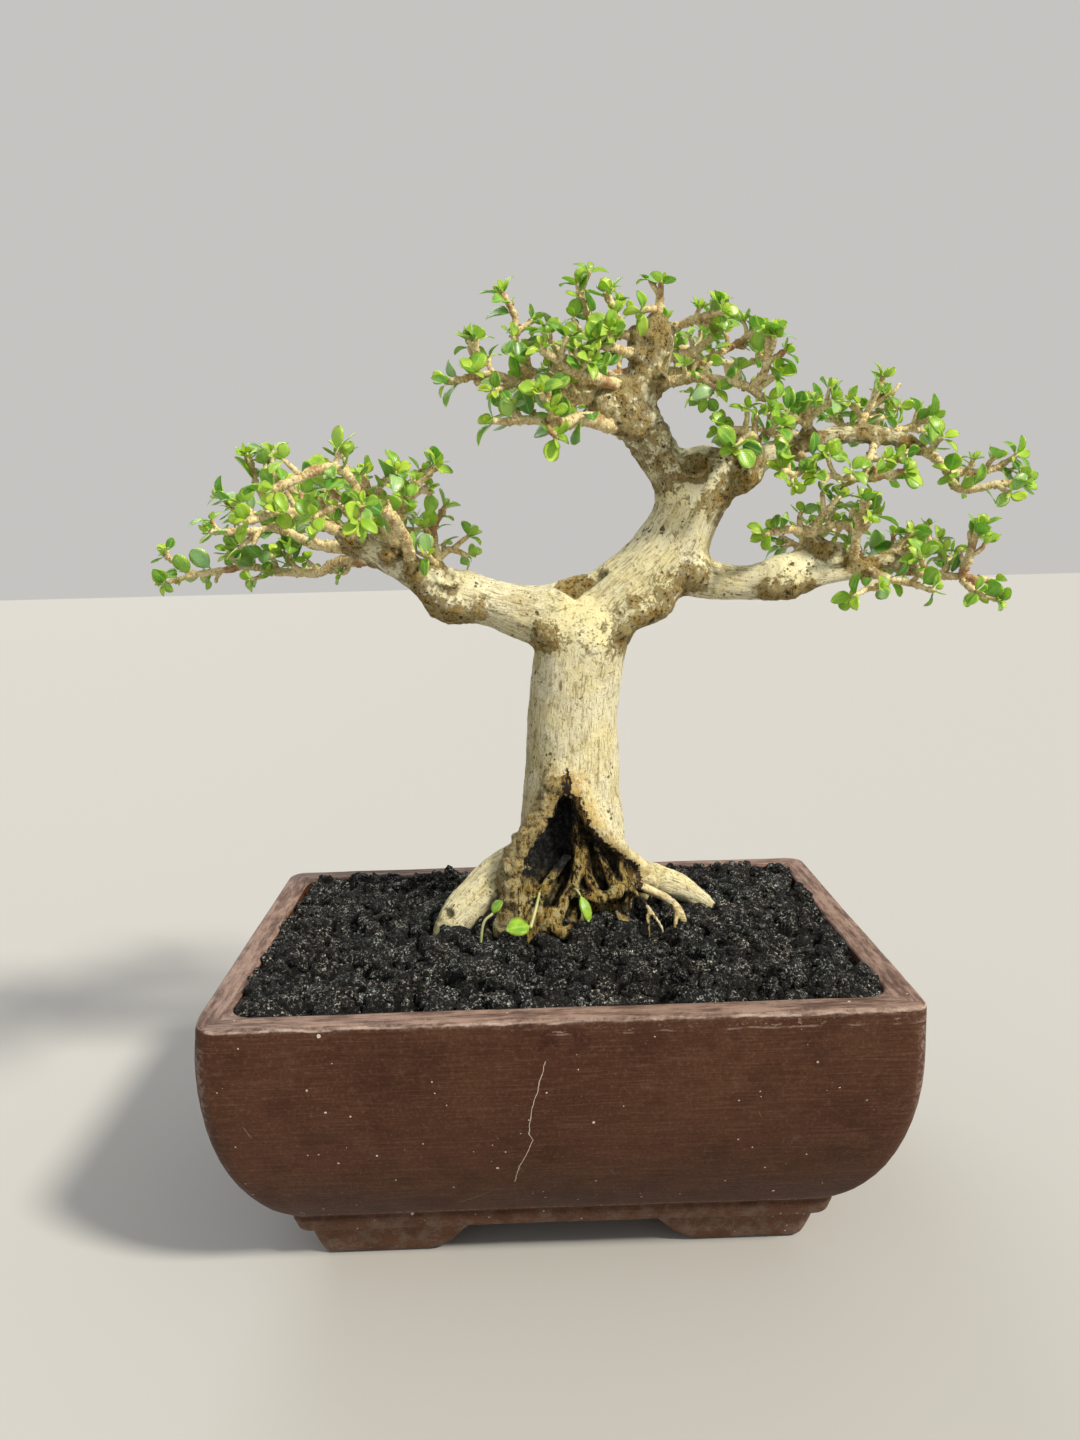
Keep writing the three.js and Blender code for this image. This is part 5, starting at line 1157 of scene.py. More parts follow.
# %% Relief of the bark
stretched = grain * [1, 1, 0.6]
height = 0.55 * rough(wood_points, 16, 5, 2) + 0.35 * (1 - seam) * rough(stretched, 5, 9, 2)
height *= 1 - 0.6 * hollow
height += 0.22 * lumps(wood_points, 2.4, 31)
height += joint * (0.45 * rough(wood_points, 5, 12) + 0.6 * np.abs(lumps(wood_points, 2.6, 15)))
height += hollow * 0.8 * rough(wood_points * [1, 1, 0.3], 3.0, 18)
corky = clear_step(np.abs(x - left_edge + 5), 7, 4) * clear_step(y, -4, -9) * clear_step(z, 118, 124)
corky = np.maximum(corky * clear_step(z, 200, 188), 0.55 * leader)
height += corky * 2.2 * np.abs(lumps(wood_points, 3.4, 27))
slender = np.full(len(wood_points), 1e3)
for rows in THIN_ROOTS.values():
    for row in smooth_line(rows, 2.0):
        slender = np.minimum(slender, np.linalg.norm(wood_points - row[:3], axis=1) - row[3])
height *= clear_step(slender, 0.2, 2.0)
wood_points = wood_points + height[:, None] * wood_normals
wood_points[:, 2] = np.maximum(wood_points[:, 2], 100.5)

# %% More masks, for painted shade, weather and wear
# painted shade: 1 where the wood faces away from the sun, less on the leader. The bark's material darkens it
# there.
shade = clear_step(-wood_normals @ np.array([0.8, -0.35, 0.25]), -0.1, 0.9) * (1 - 0.7 * leader)
front = clear_step(y, 6, 2) * clear_step(z, 200, 192) * clear_step(z, 112, 118)
rim_width = 1.5 + 5.5 * clear_step(x, 6, 10)
scorch = clear_step(gap, -rim_width, -0.4) * front * clear_step(z, 190, 183) * (1 - hollow)
scorch = np.maximum(scorch, near((7, -14, 191), 6, 1, (1.5, 1, 0.55)))
stained = clear_step(gap, -13, -2) * front * clear_step(z, 134, 146)
stained *= np.where(z > 172, 1, clear_step(x, 8, 12))
stained = np.maximum(stained, 0.6 * clear_step(slender, 1.2, 0.4))

# %% [markdown]
# The bark is pale cream, browner in its fissures, ochre and dark brown at the joints, with small dark pores.
# On the side that faces away from the sun it is darkened to greenish grey, which is painted shade with a
# little moss, and more pores and spots are put there. Places that other wood encloses get painted shade too.
# The lips of the wound and the crown's leader are corky, and water has stained the bark beside the wound. The
# hollow is charcoal at the top, grey in part with a painted sheen, and streaky, yellow-brown rotten wood
# below. The material mixes these by the masks that the mesh carries.

# %% The bark's colours
def streaks_along(bark):
    """Fine hairs, streaks and wide bands along the limbs, which fade at the seams."""
    along = bark.read("grain", vector=True)
    calm = bark.math("SUBTRACT", 1.0, bark.read("seam"))
    patterns = [bark.noise(0.8, bark.stretch((1.0, 1.0, 0.6), along), detail=4, unit=1.0),
                bark.noise(1.7, along, detail=6, roughness=0.75, unit=1.0),
                bark.noise(6, along, detail=5, roughness=0.65, unit=1.0)]
    return [bark.math("ADD", bark.times(bark.math("SUBTRACT", lines, 0.5), calm), 0.5) for lines in patterns]


def pale_skin(bark, hairs, streaks, bands, patches, grit, shade, depth):
    """Smooth bark: cream with brown streaks and spots, stained, and mossy at the soil. Away from the sun it
    has painted shade with a little moss.
    """
    stained = bark.read("stained")
    # dark spots crowd more where shade is painted, and beside the stain
    spots = bark.math("SUBTRACT", bark.noise(1.9, detail=5, roughness=0.7), bark.times(shade, 0.035))
    spots = bark.math("SUBTRACT", spots, bark.times(stained, 0.065))
    pale = bark.mix(bark.ramp(patches, 0.40, 0.62), (0.98, 0.92, 0.64), (0.94, 0.85, 0.48))
    pale = bark.layers(pale, (bands, 0.47, 0.36, 0.45, (0.50, 0.37, 0.13)),
                       (streaks, 0.46, 0.34, 0.85, (0.27, 0.18, 0.06)),
                       (streaks, 0.54, 0.66, 0.7, (0.95, 0.90, 0.66)),
                       (hairs, 0.46, 0.34, 0.65, (0.34, 0.24, 0.09)),
                       (grit, 0.44, 0.32, 0.7, (0.26, 0.18, 0.07)),
                       (spots, 0.425, 0.35, 0.8, (0.30, 0.19, 0.06)),
                       # painted shade: the side away from the sun is multiplied darker and greener
                       (shade, 0.3, 0.9, 0.8, (0.55, 0.53, 0.44), "MULTIPLY"))
    blotches = bark.ramp(bark.noise(4, detail=6, roughness=0.7), 0.38, 0.56, 0.15, 0.85)
    pale = bark.mix(bark.times(stained, blotches), pale, (0.74, 0.49, 0.13))
    buried = bark.math("ADD", bark.ramp(depth, 0.134, 0.118),
                       bark.ramp(bark.noise(5, detail=6), 0.36, 0.64, -0.5, 0.3))
    pale = bark.layers(pale, (buried, 0.1, 0.9, 0.75, (0.42, 0.38, 0.10)))
    # painted shade with a little moss: grey-green blotches on the side away from the sun
    return bark.layers(pale, (bark.noise(7, detail=5), 0.54, 0.66, 0.5, (0.24, 0.23, 0.10)),
                       within=bark.ramp(shade, 0.4, 1.0))


def rough_crust(bark, cork, corky):
    """Scaly bark: tan plates with dark gaps and light edges, more fissured where it is corky."""
    tan = bark.mix(bark.ramp(bark.noise(7, detail=5), 0.42, 0.58), (0.76, 0.47, 0.10), (0.92, 0.70, 0.26))
    tan = bark.mix(bark.times(corky, 0.75), tan, (0.90, 0.66, 0.24))
    crust = bark.mix(bark.ramp(cork, 0.425, 0.465), (0.070, 0.034, 0.009), tan)
    crust = bark.layers(crust, (cork, 0.52, 0.58, 0.85, (0.98, 0.87, 0.47)))
    fissures = bark.noise(2.5, bark.stretch((1.0, 1.0, 0.7)), detail=7, roughness=0.8)
    return bark.layers(crust, (fissures, 0.475, 0.435, 0.9, (0.110, 0.056, 0.014)),
                       (fissures, 0.52, 0.58, 0.7, (1.0, 0.88, 0.47)), within=corky)


def inside_wound(bark, strands, depth, patchy_recess_shade):
    """Charcoal at the top of the hollow, grey in part with a painted sheen, and rotten strands below it, with
    painted shade where other wood encloses them.
    """
    # the charcoal's grey is partly its own colour and partly a painted sheen
    char_grey_and_sheen = bark.ramp(bark.noise(1.8, detail=6), 0.42, 0.70)
    char = bark.mix(char_grey_and_sheen, (0.006, 0.006, 0.006), (0.085, 0.088, 0.085))
    sunk = bark.math("SUBTRACT", strands, bark.ramp(depth, 0.144, 0.154, 0, 0.035))
    dark = bark.noise(6, detail=6, roughness=0.7)
    rot = bark.mix(bark.ramp(sunk, 0.42, 0.49), (0.016, 0.011, 0.006), (0.74, 0.50, 0.12))
    rot = bark.layers(rot, (sunk, 0.51, 0.56, 0.95, (0.97, 0.86, 0.46)),
                      (bark.noise(8), 0.58, 0.68, 0.55, (0.34, 0.14, 0.02)),
                      (dark, 0.485, 0.42, 0.95, (0.012, 0.010, 0.007)))
    # painted shade: near black where other wood encloses the rot
    rot = bark.mix(bark.times(patchy_recess_shade, 0.92), rot, (0.012, 0.009, 0.006))
    return bark.mix(bark.read("rotten"), char, rot)


# %% The bark's finish
def bark_finish():
    bark = Finish("pale_bark")
    _, _, depth = bark.axes()
    hairs, streaks, bands = streaks_along(bark)
    patches = bark.noise(17, detail=5, roughness=0.65)
    grit = bark.noise(0.9, detail=4, roughness=0.7)
    cork = bark.noise(2.2, detail=7, roughness=0.85)
    # painted shade on the side away from the sun, made patchy by wide noise
    shade = bark.math("ADD", bark.read("shade"), bark.ramp(patches, 0.2, 0.8, -0.25, 0.25))
    corky = bark.read("corky")
    scales = bark.times(bark.math("MAXIMUM", bark.read("joint"), bark.times(corky, 0.85)), 1.3)
    uneven = bark.ramp(bark.noise(6, detail=8, roughness=0.85), 0.38, 0.62, -0.75, 0.40)
    scales = bark.math("ADD", scales, uneven)
    flaked = bark.ramp(scales, 0.30, 0.75)
    skin = bark.mix(flaked, pale_skin(bark, hairs, streaks, bands, patches, grit, shade, depth),
                    rough_crust(bark, cork, corky))
    # pores in crowds, more of them where shade is painted, then dark brown painted shade in recesses, more of
    # it lower down
    ragged = bark.ragged(3.0, 2.2)
    for width, most, spread in ((3.0, 0.30, 0.0), (8.0, 0.19, 0.03)):
        pores = bark.spots(width, bark.ramp(bark.noise(width * 1.7), 0.42, 0.64, 0.0, most), ragged)
        crowd = bark.math("ADD", bark.noise(21, detail=2), bark.ramp(shade, 0.1, 0.9, spread, 0.10))
        pores = bark.times(pores, bark.ramp(crowd, 0.48, 0.56))
        skin = bark.mix(bark.times(pores, 0.85), skin, (0.05, 0.030, 0.012))
    patchy_recess_shade = bark.ramp(bark.noise(3, detail=6, roughness=0.7), 0.36, 0.54, 0.5, 1.0)
    patchy_recess_shade = bark.times(bark.read("sheltered"), patchy_recess_shade)
    recess_shade_lower_down = bark.times(patchy_recess_shade, bark.ramp(depth, 0.172, 0.150, 0.25, 0.75))
    skin = bark.mix(recess_shade_lower_down, skin, (0.060, 0.043, 0.016))
    # the wound: its scorched edge, its inside, and the mouldy pits of the scars
    strands = bark.noise(2.4, bark.stretch((1.0, 1.0, 0.2), ragged), detail=7, roughness=0.75)
    burnt = bark.ramp(bark.noise(2.4, detail=5, roughness=0.7), 0.3, 0.7, -0.35, 0.35)
    edge = bark.ramp(bark.math("ADD", bark.read("scorch"), burnt), 0.45, 0.62)
    scorched = bark.mix(bark.ramp(strands, 0.54, 0.62), (0.022, 0.013, 0.007), (0.42, 0.24, 0.06))
    skin = bark.mix(edge, skin, scorched)
    inside_share = bark.ramp(bark.math("ADD", bark.read("hollow"), burnt), 0.35, 0.55)
    skin = bark.mix(inside_share, skin, inside_wound(bark, strands, depth, patchy_recess_shade))
    mould = bark.ramp(bark.noise(4, detail=5), 0.44, 0.58)
    mouldy = bark.mix(mould, (0.035, 0.024, 0.012), (0.40, 0.35, 0.10))
    bark.colour(bark.mix(bark.read("pits"), skin, mouldy))
    scaly = bark.times(bark.ramp(cork, 0.35, 0.65), bark.math("MAXIMUM", flaked, inside_share))
    relief = None
    for pattern, deep in ((grit, 0.8), (streaks, 1.4), (hairs, 0.35), (scaly, 2.2),
                          (bark.math("SUBTRACT", 1.0, pores), 0.5)):
        relief = bark.relief(pattern, deep, under=relief)
    return bark.finish(relief, roughness=bark.ramp(inside_share, 0, 1, 0.6, 0.85), specular_ior_level=0.3)


wood = make_piece("trunk_roots_and_limbs", wood_points, wood_faces, bark_finish())
masks = {"joint": joint, "seam": seam, "hollow": hollow, "rotten": rotten, "pits": pits, "shade": shade,
         "scorch": scorch, "stained": stained, "corky": corky, "sheltered": sheltered}
for name, values in {"grain": grain, **masks}.items():
    give(wood, name, values)
seat(wood, "bark", "trunk_and_limbs")

# %% [markdown]
# A twig of this tree is knobby: each pair of leaves leaves a ring of scars behind, a few millimetres apart. A
# bevelled curve would be smooth, so each twig is a tube of rings whose thickness swells at those scars. The
# frame round each ring is carried along from the last one, so that the tube never twists.

# %% Tubes along a line
def frames_along(line):
    """For each row of a line: how far along it is, its direction and two directions across it."""
    middles = line[:, :3]
    ways = np.gradient(middles, axis=0)
    ways /= np.linalg.norm(ways, axis=1)[:, None]
    side = np.cross((0.31, 0.83, 0.46), ways[0])
    sides = []
    for way in ways:
        side = square_to(way, side)
        sides.append(side)
    sides = np.array(sides)
    reach = np.concatenate([[0], np.cumsum(np.linalg.norm(np.diff(middles, axis=0), axis=1))])
    return reach, ways, sides, np.cross(ways, sides)


def tube(line, corners=8, uneven=0.0):
    """A closed tube with a rounded tip round a line of rows. Also gives each point's streak coordinates."""
    reach, ways, sides, others = frames_along(line)
    rings, grain = [], []
    angles = 2 * np.pi * np.arange(corners) / corners
    for row, distance, way, side, other in zip(line, reach, ways, sides, others):
        around = np.cos(angles)[:, None] * side + np.sin(angles)[:, None] * other
        rings.append(row[3] * around)
        flat = row[3] * np.cos(angles), row[3] * np.sin(angles), np.full(corners, distance)
        grain.append(np.column_stack(flat))
    offsets = np.array(rings)
    places = line[:, None, :3] + offsets
    swollen = 1 + uneven * lumps(places.reshape(-1, 3), 1.6, 5).reshape(len(line), corners, 1)
    rings = list(line[:, None, :3] + offsets * swollen)
    end, last_ring = line[-1, :3], rings[-1]
    for share, ahead in ((0.8, 0.55), (0.4, 0.9)):
        rings.append(end + ahead * line[-1, 3] * ways[-1] + share * (last_ring - end))
        grain.append(grain[len(line) - 1])
    points, faces = loft(rings)
    grain += [grain[0][:1] * 0, grain[-1][:1]]
    return points, faces, np.vstack(grain)


def knobby(line, seed):
    """Swells a line at the scars, which are a few millimetres apart, and makes it wander a little."""
    draw = seeded_run(seed)
    reach = frames_along(line)[0]
    scar, swell = draw(0, 2), np.zeros(len(line))
    while scar < reach[-1] + 2:
        swell += draw(0.0, 0.46) * np.exp(-(((reach - scar) / draw(0.5, 1.2)) ** 2))
        scar += draw(1.6, 4.8)
    swell *= np.minimum(1.5 / line[:, 3], 1) ** 2
    line = line.copy()
    line[:, :3] += 0.45 * np.column_stack([lumps(line[:, :3], 6, seed % 97 + axis) for axis in range(3)])
    line[:, 3] *= 0.84 + swell
    return line


# %% [markdown]
# Leaves of this plant stand in pairs, each pair a quarter turn from the last, and crowd at the tips. So the
# script walks along every twig and writes down where a leaf goes: its foot, the way that it points and the
# side that it turns to the sky. Short spurs along the twigs carry tufts of their own. Nothing is made yet.

# %% Where twigs, spurs and leaves go
SKY = np.array([0.0, 0.0, 1.0])
SUN = np.array([0.30, -0.55, 0.78])
SPUR_SHARE = 0.6


def plan_leaf(leaves, foot, way, outward, lean, size, young, draw):
    """Notes one leaf. It leans out from its twig, lifts to the sky and turns its face to the light."""
    along = way * np.cos(lean) + outward * np.sin(lean) + SKY * draw(0.0, 0.35)
    along = unit(along + 0.22 * np.array([draw(-1, 1), draw(-1, 1), draw(-1, 1)]))
    face = 0.5 * way + 0.75 * SUN - 0.25 * outward + 0.45 * np.array([draw(-1, 1), draw(-1, 1), draw(-1, 1)])
    face = square_to(along, face)
    across = np.cross(along, face)
    leaves.append({"foot": foot, "turn": np.column_stack([across, along, face]), "size": size,
                   "kind": int(draw(0, 5.999)), "young": young, "tint": draw()})


def plan_tuft(leaves, line, count, draw, biggest=8.5):
    """A few leaves round a tip, the outer ones bigger and older."""
    _, ways, sides, others = frames_along(line)
    start = draw(0, 2 * np.pi)
    for order in range(count):
        layer = order // 2
        angle = start + layer * np.pi / 2 + (order % 2) * np.pi + draw(-0.3, 0.3)
        outward = np.cos(angle) * sides[-1] + np.sin(angle) * others[-1]
        foot = line[-1, :3] + 0.6 * line[-1, 3] * (outward + layer * 0.5 * ways[-1])
        lean = (1.15, 0.8, 0.4)[min(layer, 2)] + draw(-0.2, 0.2)
        size = biggest * (1.0, 0.78, 0.5)[min(layer, 2)] * draw(0.72, 1.12)
        young = min(0.25 + 0.3 * layer + draw(0, 0.35), 1)
        plan_leaf(leaves, foot, ways[-1], outward, lean, size, young, draw)


def plan_twig(twig, seed, leaves, spurs):
    """The twig's line. Its spurs and leaves are added to the lists."""
    first, last, *places = twig
    draw = seeded_run(seed)
    share = np.linspace(0, 1, len(places)) ** 0.8
    line = smooth_line([(*place, first + (last - first) * s) for place, s in zip(places, share)], 0.75)
    reach, ways, sides, others = frames_along(line)
    outside = value_at(line[:, :3]) > line[:, 3] * 0.4
    bare = reach[np.argmax(outside)] if outside.any() else 0
    total = reach[-1]
    distance, angle = bare + draw(3, 6), draw(0, 6.28)
    while distance < total - 3:
        row = np.searchsorted(reach, distance)
        angle += draw(1.6, 3.4)
        outward = np.cos(angle) * sides[row] + np.sin(angle) * others[row]
        outward = unit(outward + 0.5 * SKY)
        if draw() < SPUR_SHARE and total > 9:
            way = unit(0.55 * ways[row] + outward)
            long = draw(3.0, 7.5) * (1 if distance > 0.3 * total else 0.6)
            thin = min(line[row, 3] * 0.75, draw(0.9, 1.3))
            bend = 0.25 * long * np.array([draw(-1, 1), draw(-1, 1), draw(0, 1)])
            start = line[row, :3]
            spur = smooth_line([(*start, thin * 1.2), (*(start + way * (line[row, 3] + long * 0.5)), thin),
                                (*(start + way * (line[row, 3] + long) + bend), thin * 0.9)], 0.8)
            spurs.append(spur)
            if draw() < 0.9:
                plan_tuft(leaves, spur, int(draw(3, 6.99)), draw, biggest=draw(6.0, 9.5))
        elif distance > 0.35 * total:
            for turned in (0, np.pi):
                if draw() < 0.75:
                    aside = np.cos(angle + turned) * sides[row] + np.sin(angle + turned) * others[row]
                    foot = line[row, :3] + 0.8 * line[row, 3] * aside
                    lean, size, young = draw(0.75, 1.2), draw(6.5, 12.0), draw(0, 0.5)
                    plan_leaf(leaves, foot, ways[row], aside, lean, size, young, draw)
        distance += draw(3.2, 6.2)
    plan_tuft(leaves, line, int(draw(4, 8.99)), draw, biggest=draw(7.5, 10.5))
    return knobby(line, seed)


# %% Every twig, in four pads
pads = {}
for index, (stem, twigs) in enumerate(STEMS.items()):
    pad = pads.setdefault(stem.split("_")[0], {"stems": [], "lines": [], "spurs": [], "leaves": []})
    pad["stems"].append(f"leafy_stem_{stem}")
    for order, twig in enumerate(twigs):
        seed = 700 + 20 * index + order
        pad["lines"].append(plan_twig(twig, seed, pad["leaves"], pad["spurs"]))
for name, pad in pads.items():
    print(name, "twigs", len(pad["lines"]), "spurs", len(pad["spurs"]), "leaves", len(pad["leaves"]))

# %% [markdown]
# Geometry Nodes set the same few shapes in many places, with sliders for a tree's named inputs. A small class
# keeps the script short: it makes a tree with its inputs, adds nodes, and runs the tree on a mesh. The result
# is turned into a plain mesh at once, so that nothing live is left in the scene.

# %% A short way to write Geometry Nodes
class Recipe(Graph):
    """A Geometry Nodes tree with named inputs."""

    def __init__(self, name, **inputs):
        self.tree = bpy.data.node_groups.new(name, "GeometryNodeTree")
        self.tree.interface.new_socket("Geometry", in_out="INPUT", socket_type="NodeSocketGeometry")
        self.tree.interface.new_socket("Geometry", in_out="OUTPUT", socket_type="NodeSocketGeometry")
        self.sockets = {}
        for label, kind in inputs.items():
            socket = self.tree.interface.new_socket(label, in_out="INPUT", socket_type=f"NodeSocket{kind}")
            self.sockets[label] = socket.identifier
        self.start = self.tree.nodes.new("NodeGroupInput").outputs
        self.end = self.tree.nodes.new("NodeGroupOutput").inputs[0]

    def read(self, name, kind="FLOAT"):
        """A value that the mesh carries at each point."""
        node = self.add("GeometryNodeInputNamedAttribute", {"Name": name}, data_type=kind)
        return next(socket for socket in node.outputs if socket.enabled and socket.name == "Attribute")

    def math(self, operation, first, second):
        return self.add("ShaderNodeMath", {0: first, 1: second}, operation=operation).outputs[0]

    def between(self, low, high, seed):
        """A random number for each point."""
        node = self.add("FunctionNodeRandomValue", data_type="FLOAT")
        for name, value in (("Min", low), ("Max", high), ("Seed", seed)):
            self.put(value, next(s for s in node.inputs if s.enabled and s.name == name))
        return next(s for s in node.outputs if s.enabled)

    def plant(self, points, keep_surface=False, **more):
        """Sets copies of the shapes on points, makes them real and coats them. This ends the recipe."""
        shapes = self.add("GeometryNodeCollectionInfo", {
            "Collection": self.start["Shapes"], "Separate Children": True, "Reset Children": True})
        copies = self.add("GeometryNodeInstanceOnPoints", {
            "Points": points, "Instance": shapes.outputs["Instances"], "Pick Instance": True,
            **{name.replace("_", " ").title(): value for name, value in more.items()}})
        real = self.add("GeometryNodeRealizeInstances", {"Geometry": copies.outputs["Instances"]})
        joined = self.add("GeometryNodeJoinGeometry", {"Geometry": real.outputs["Geometry"]})
        if keep_surface:
            self.put(self.start["Geometry"], joined.inputs["Geometry"])
        coated = self.add("GeometryNodeSetMaterial", {
            "Geometry": joined.outputs["Geometry"], "Material": self.start["Finish"]})
        self.put(coated.outputs["Geometry"], self.end)

    def run(self, name, source, values):
        """Runs the tree on a mesh object and returns the outcome as a new object."""
        modifier = source.modifiers.new(name, "NODES")
        modifier.node_group = self.tree
        for label, value in values.items():
            modifier[self.sockets[label]] = value
        graph = bpy.context.evaluated_depsgraph_get()
        mesh = bpy.data.meshes.new_from_object(source.evaluated_get(graph), depsgraph=graph)
        source.modifiers.clear()
        piece = bpy.data.objects.new(name, mesh)
        bpy.context.scene.collection.objects.link(piece)
        return piece


# %% Families of small shapes
def family(name, shapes):
    """A collection of small mesh objects for a recipe to pick from. Sizes are in units, not millimetres."""
    group = bpy.data.collections.new(name)
    for order, (points, faces, attributes) in enumerate(shapes):
        shape = bpy.data.objects.new(f"{name}_{order}", make_mesh(f"{name}_{order}", points, faces))
        for label, values in attributes.items():
            give(shape, label, values)
        group.objects.link(shape)
    return group


def clear_family(group):
    for shape in list(group.objects):
        bpy.data.objects.remove(shape)
    bpy.data.collections.remove(group)


# %% [markdown]
# The lump that stands for a bud scale or a crumb of soil is a ball with few faces, pushed about by noise: a
# cube whose faces are cut in four and blown up to a ball. Several lumps with other noise keep the eye from
# seeing the same one twice.

# %% A small lump
def lump(seed, uneven, flat=1.0, size=1):
    """A ball of 24 quads, or of 6 when a quad's size is 2, made uneven."""
    corners = {}
    points, faces = [], []
    for axis in range(3):
        for sign in (-1, 1):
            for u in range(-1, 1, size):
                for v in range(-1, 1, size):
                    quad = []
                    for du, dv in ((0, 0), (size, 0), (size, size), (0, size)):
                        place = [0, 0, 0]
                        place[axis], place[(axis + 1) % 3], place[(axis + 2) % 3] = sign, u + du, v + dv
                        if tuple(place) not in corners:
                            corners[tuple(place)] = len(points)
                            points.append(place)
                        quad.append(corners[tuple(place)])
                    faces.append(tuple(quad if sign > 0 else quad[::-1]))
    points = np.array(points, float)
    points /= np.linalg.norm(points, axis=1)[:, None]
    shift = uneven * lumps(points + 3 * seed, 0.9, seed)
    return points * (1 + shift)[:, None] * [1, 1, flat], faces, {}


# %% Twigs and their scars
def twig_finish():
    twig = Finish("knobby_twig_bark")
    along = twig.read("grain", vector=True)
    patches = twig.noise(7, detail=5, roughness=0.65)
    bands = twig.noise(0.8, twig.stretch((0.5, 0.5, 0.9), along), detail=5, roughness=0.7, unit=1.0)
    base = twig.mix(twig.ramp(patches, 0.38, 0.64), (0.74, 0.62, 0.33), (0.46, 0.32, 0.12))
    twig.colour(twig.layers(base, (bands, 0.50, 0.60, 0.75, (0.90, 0.80, 0.50)),
                            (bands, 0.46, 0.36, 0.7, (0.20, 0.11, 0.04)),
                            (twig.noise(14, detail=2), 0.56, 0.66, 0.65, (0.30, 0.13, 0.05)),
                            (twig.noise(1.3, detail=5), 0.60, 0.70, 0.6, (0.11, 0.065, 0.03))))
    fine = twig.relief(twig.noise(0.45), 0.10)
    banded = twig.relief(bands, 0.22, under=fine)
    return twig.finish(banded, roughness=0.66, specular_ior_level=0.3)


def scatter_recipe(name, where=None, keep_surface=False):
    """A recipe that strews tumbled lumps over a surface, most of them small. where thins them out."""
    recipe = Recipe(name, Shapes="Collection", Finish="Material", Density="Float", Smallest="Float",
                    Biggest="Float", Seed="Int")
    start = recipe.start
    dense = recipe.math("MULTIPLY", start["Density"], recipe.read(where) if where else 1.0)
    spread = recipe.add("GeometryNodeDistributePointsOnFaces", {
        "Mesh": start["Geometry"], "Density": dense, "Seed": start["Seed"]})
    small_mostly = recipe.math("POWER", recipe.between(0.0, 1.0, start["Seed"]), 4.0)
    scale = recipe.add("ShaderNodeMapRange", {
        "Value": small_mostly, "To Min": start["Smallest"], "To Max": start["Biggest"]})
    tumbled = recipe.add("FunctionNodeRandomValue", data_type="FLOAT_VECTOR")
    tumbled.inputs[1].default_value = (6.28, 6.28, 6.28)
    recipe.plant(spread.outputs["Points"], keep_surface,
                 rotation=tumbled.outputs[0], scale=scale.outputs["Result"])
    return recipe


scar_recipe = scatter_recipe("bud_scars", keep_surface=True)
scales = family("bud_scale", [lump(seed, 0.3, 0.7, size=2) for seed in range(4)])
twig_bark = twig_finish()
for name, pad in pads.items():
    points, faces, grain_rows = [], [], []
    for line in pad["lines"] + pad["spurs"]:
        ring_points, ring_faces, ring_grain = tube(line, 8 if len(line) > 14 else 7, uneven=0.16)
        faces += [tuple(corner + len(points) for corner in face) for face in ring_faces]
        points += list(ring_points)
        grain_rows += list(ring_grain + [7.0 * len(faces) % 91, 0, 0])
    bare_twigs = make_piece(f"{name}_bare_twigs", points, faces)
    give(bare_twigs, "grain", grain_rows)
    twigs = scar_recipe.run(f"{name}_twigs", bare_twigs, {
        "Shapes": scales, "Finish": twig_bark, "Density": 80000.0, "Smallest": 0.0004, "Biggest": 0.0011,
        "Seed": 5})
    bpy.data.objects.remove(bare_twigs)
    seat(twigs, "bark", *pad["stems"])
clear_family(scales)

# %% [markdown]
# A leaf is oval, broadest a little past its middle, folded along its midrib and curled at its tip. One flat
# card with a picture would look like paper from the side, so each leaf is a thin closed shell with a rounded
# edge. Six shapes differ in breadth, fold and curl. Each point keeps its place on the blade, for the material
# to draw the midrib, the veins and the pale rim.

# %% Six leaves
BLADE_ROWS = {0.0: 0.08, 0.08: 0.12, 0.20: 0.58, 0.38: 0.92, 0.56: 1.0, 0.75: 0.92, 0.91: 0.60, 1.0: 0.14}


def leaf_shape(breadth, fold, curl, twist, thick=0.032):
    """A leaf one unit long that lies along y and faces z."""
    points, blade = [], []
    for v, share in BLADE_ROWS.items():
        half = 0.5 * breadth * share
        lift = curl * (v - 0.3) * abs(v - 0.3) * 2
        turned = twist * v
        ring = [(-1, 0), (-0.55, 1), (0, 0.6), (0.55, 1), (1, 0), (0.55, -1), (0, -1.2), (-0.55, -1)]
        for across, side in ring:
            x = half * across
            z = fold * abs(x) + side * thick * 0.5 * (0.6 if v in (0.0, 1.0) else 1)
            sideways = x * np.cos(turned) - z * np.sin(turned)
            points.append((sideways, v, x * np.sin(turned) + z * np.cos(turned) - lift))
            blade.append((0.5 + 0.5 * across, v, 1.0 if side < 0 else 0.0))
    faces = []
    for row in range(len(BLADE_ROWS) - 1):
        for corner in range(8):
            after = (corner + 1) % 8
            low, high = 8 * row, 8 * row + 8
            faces.append((low + corner, low + after, high + after, high + corner))
    faces.append(tuple(range(8)))
    faces.append(tuple(range(len(points) - 1, len(points) - 9, -1)))
    return np.array(points), [face[::-1] for face in faces], {"blade": blade}


LEAVES = [
    leaf_shape(0.72, 0.30, 0.20, 0.2),
    leaf_shape(0.82, 0.15, -0.20, -0.2),
    leaf_shape(0.60, 0.45, 0.30, 0.35),
    leaf_shape(0.78, 0.08, 0.15, 0.0),
    leaf_shape(0.88, 0.30, 0.05, -0.35),
    leaf_shape(0.68, 0.20, 0.45, 0.1),
]


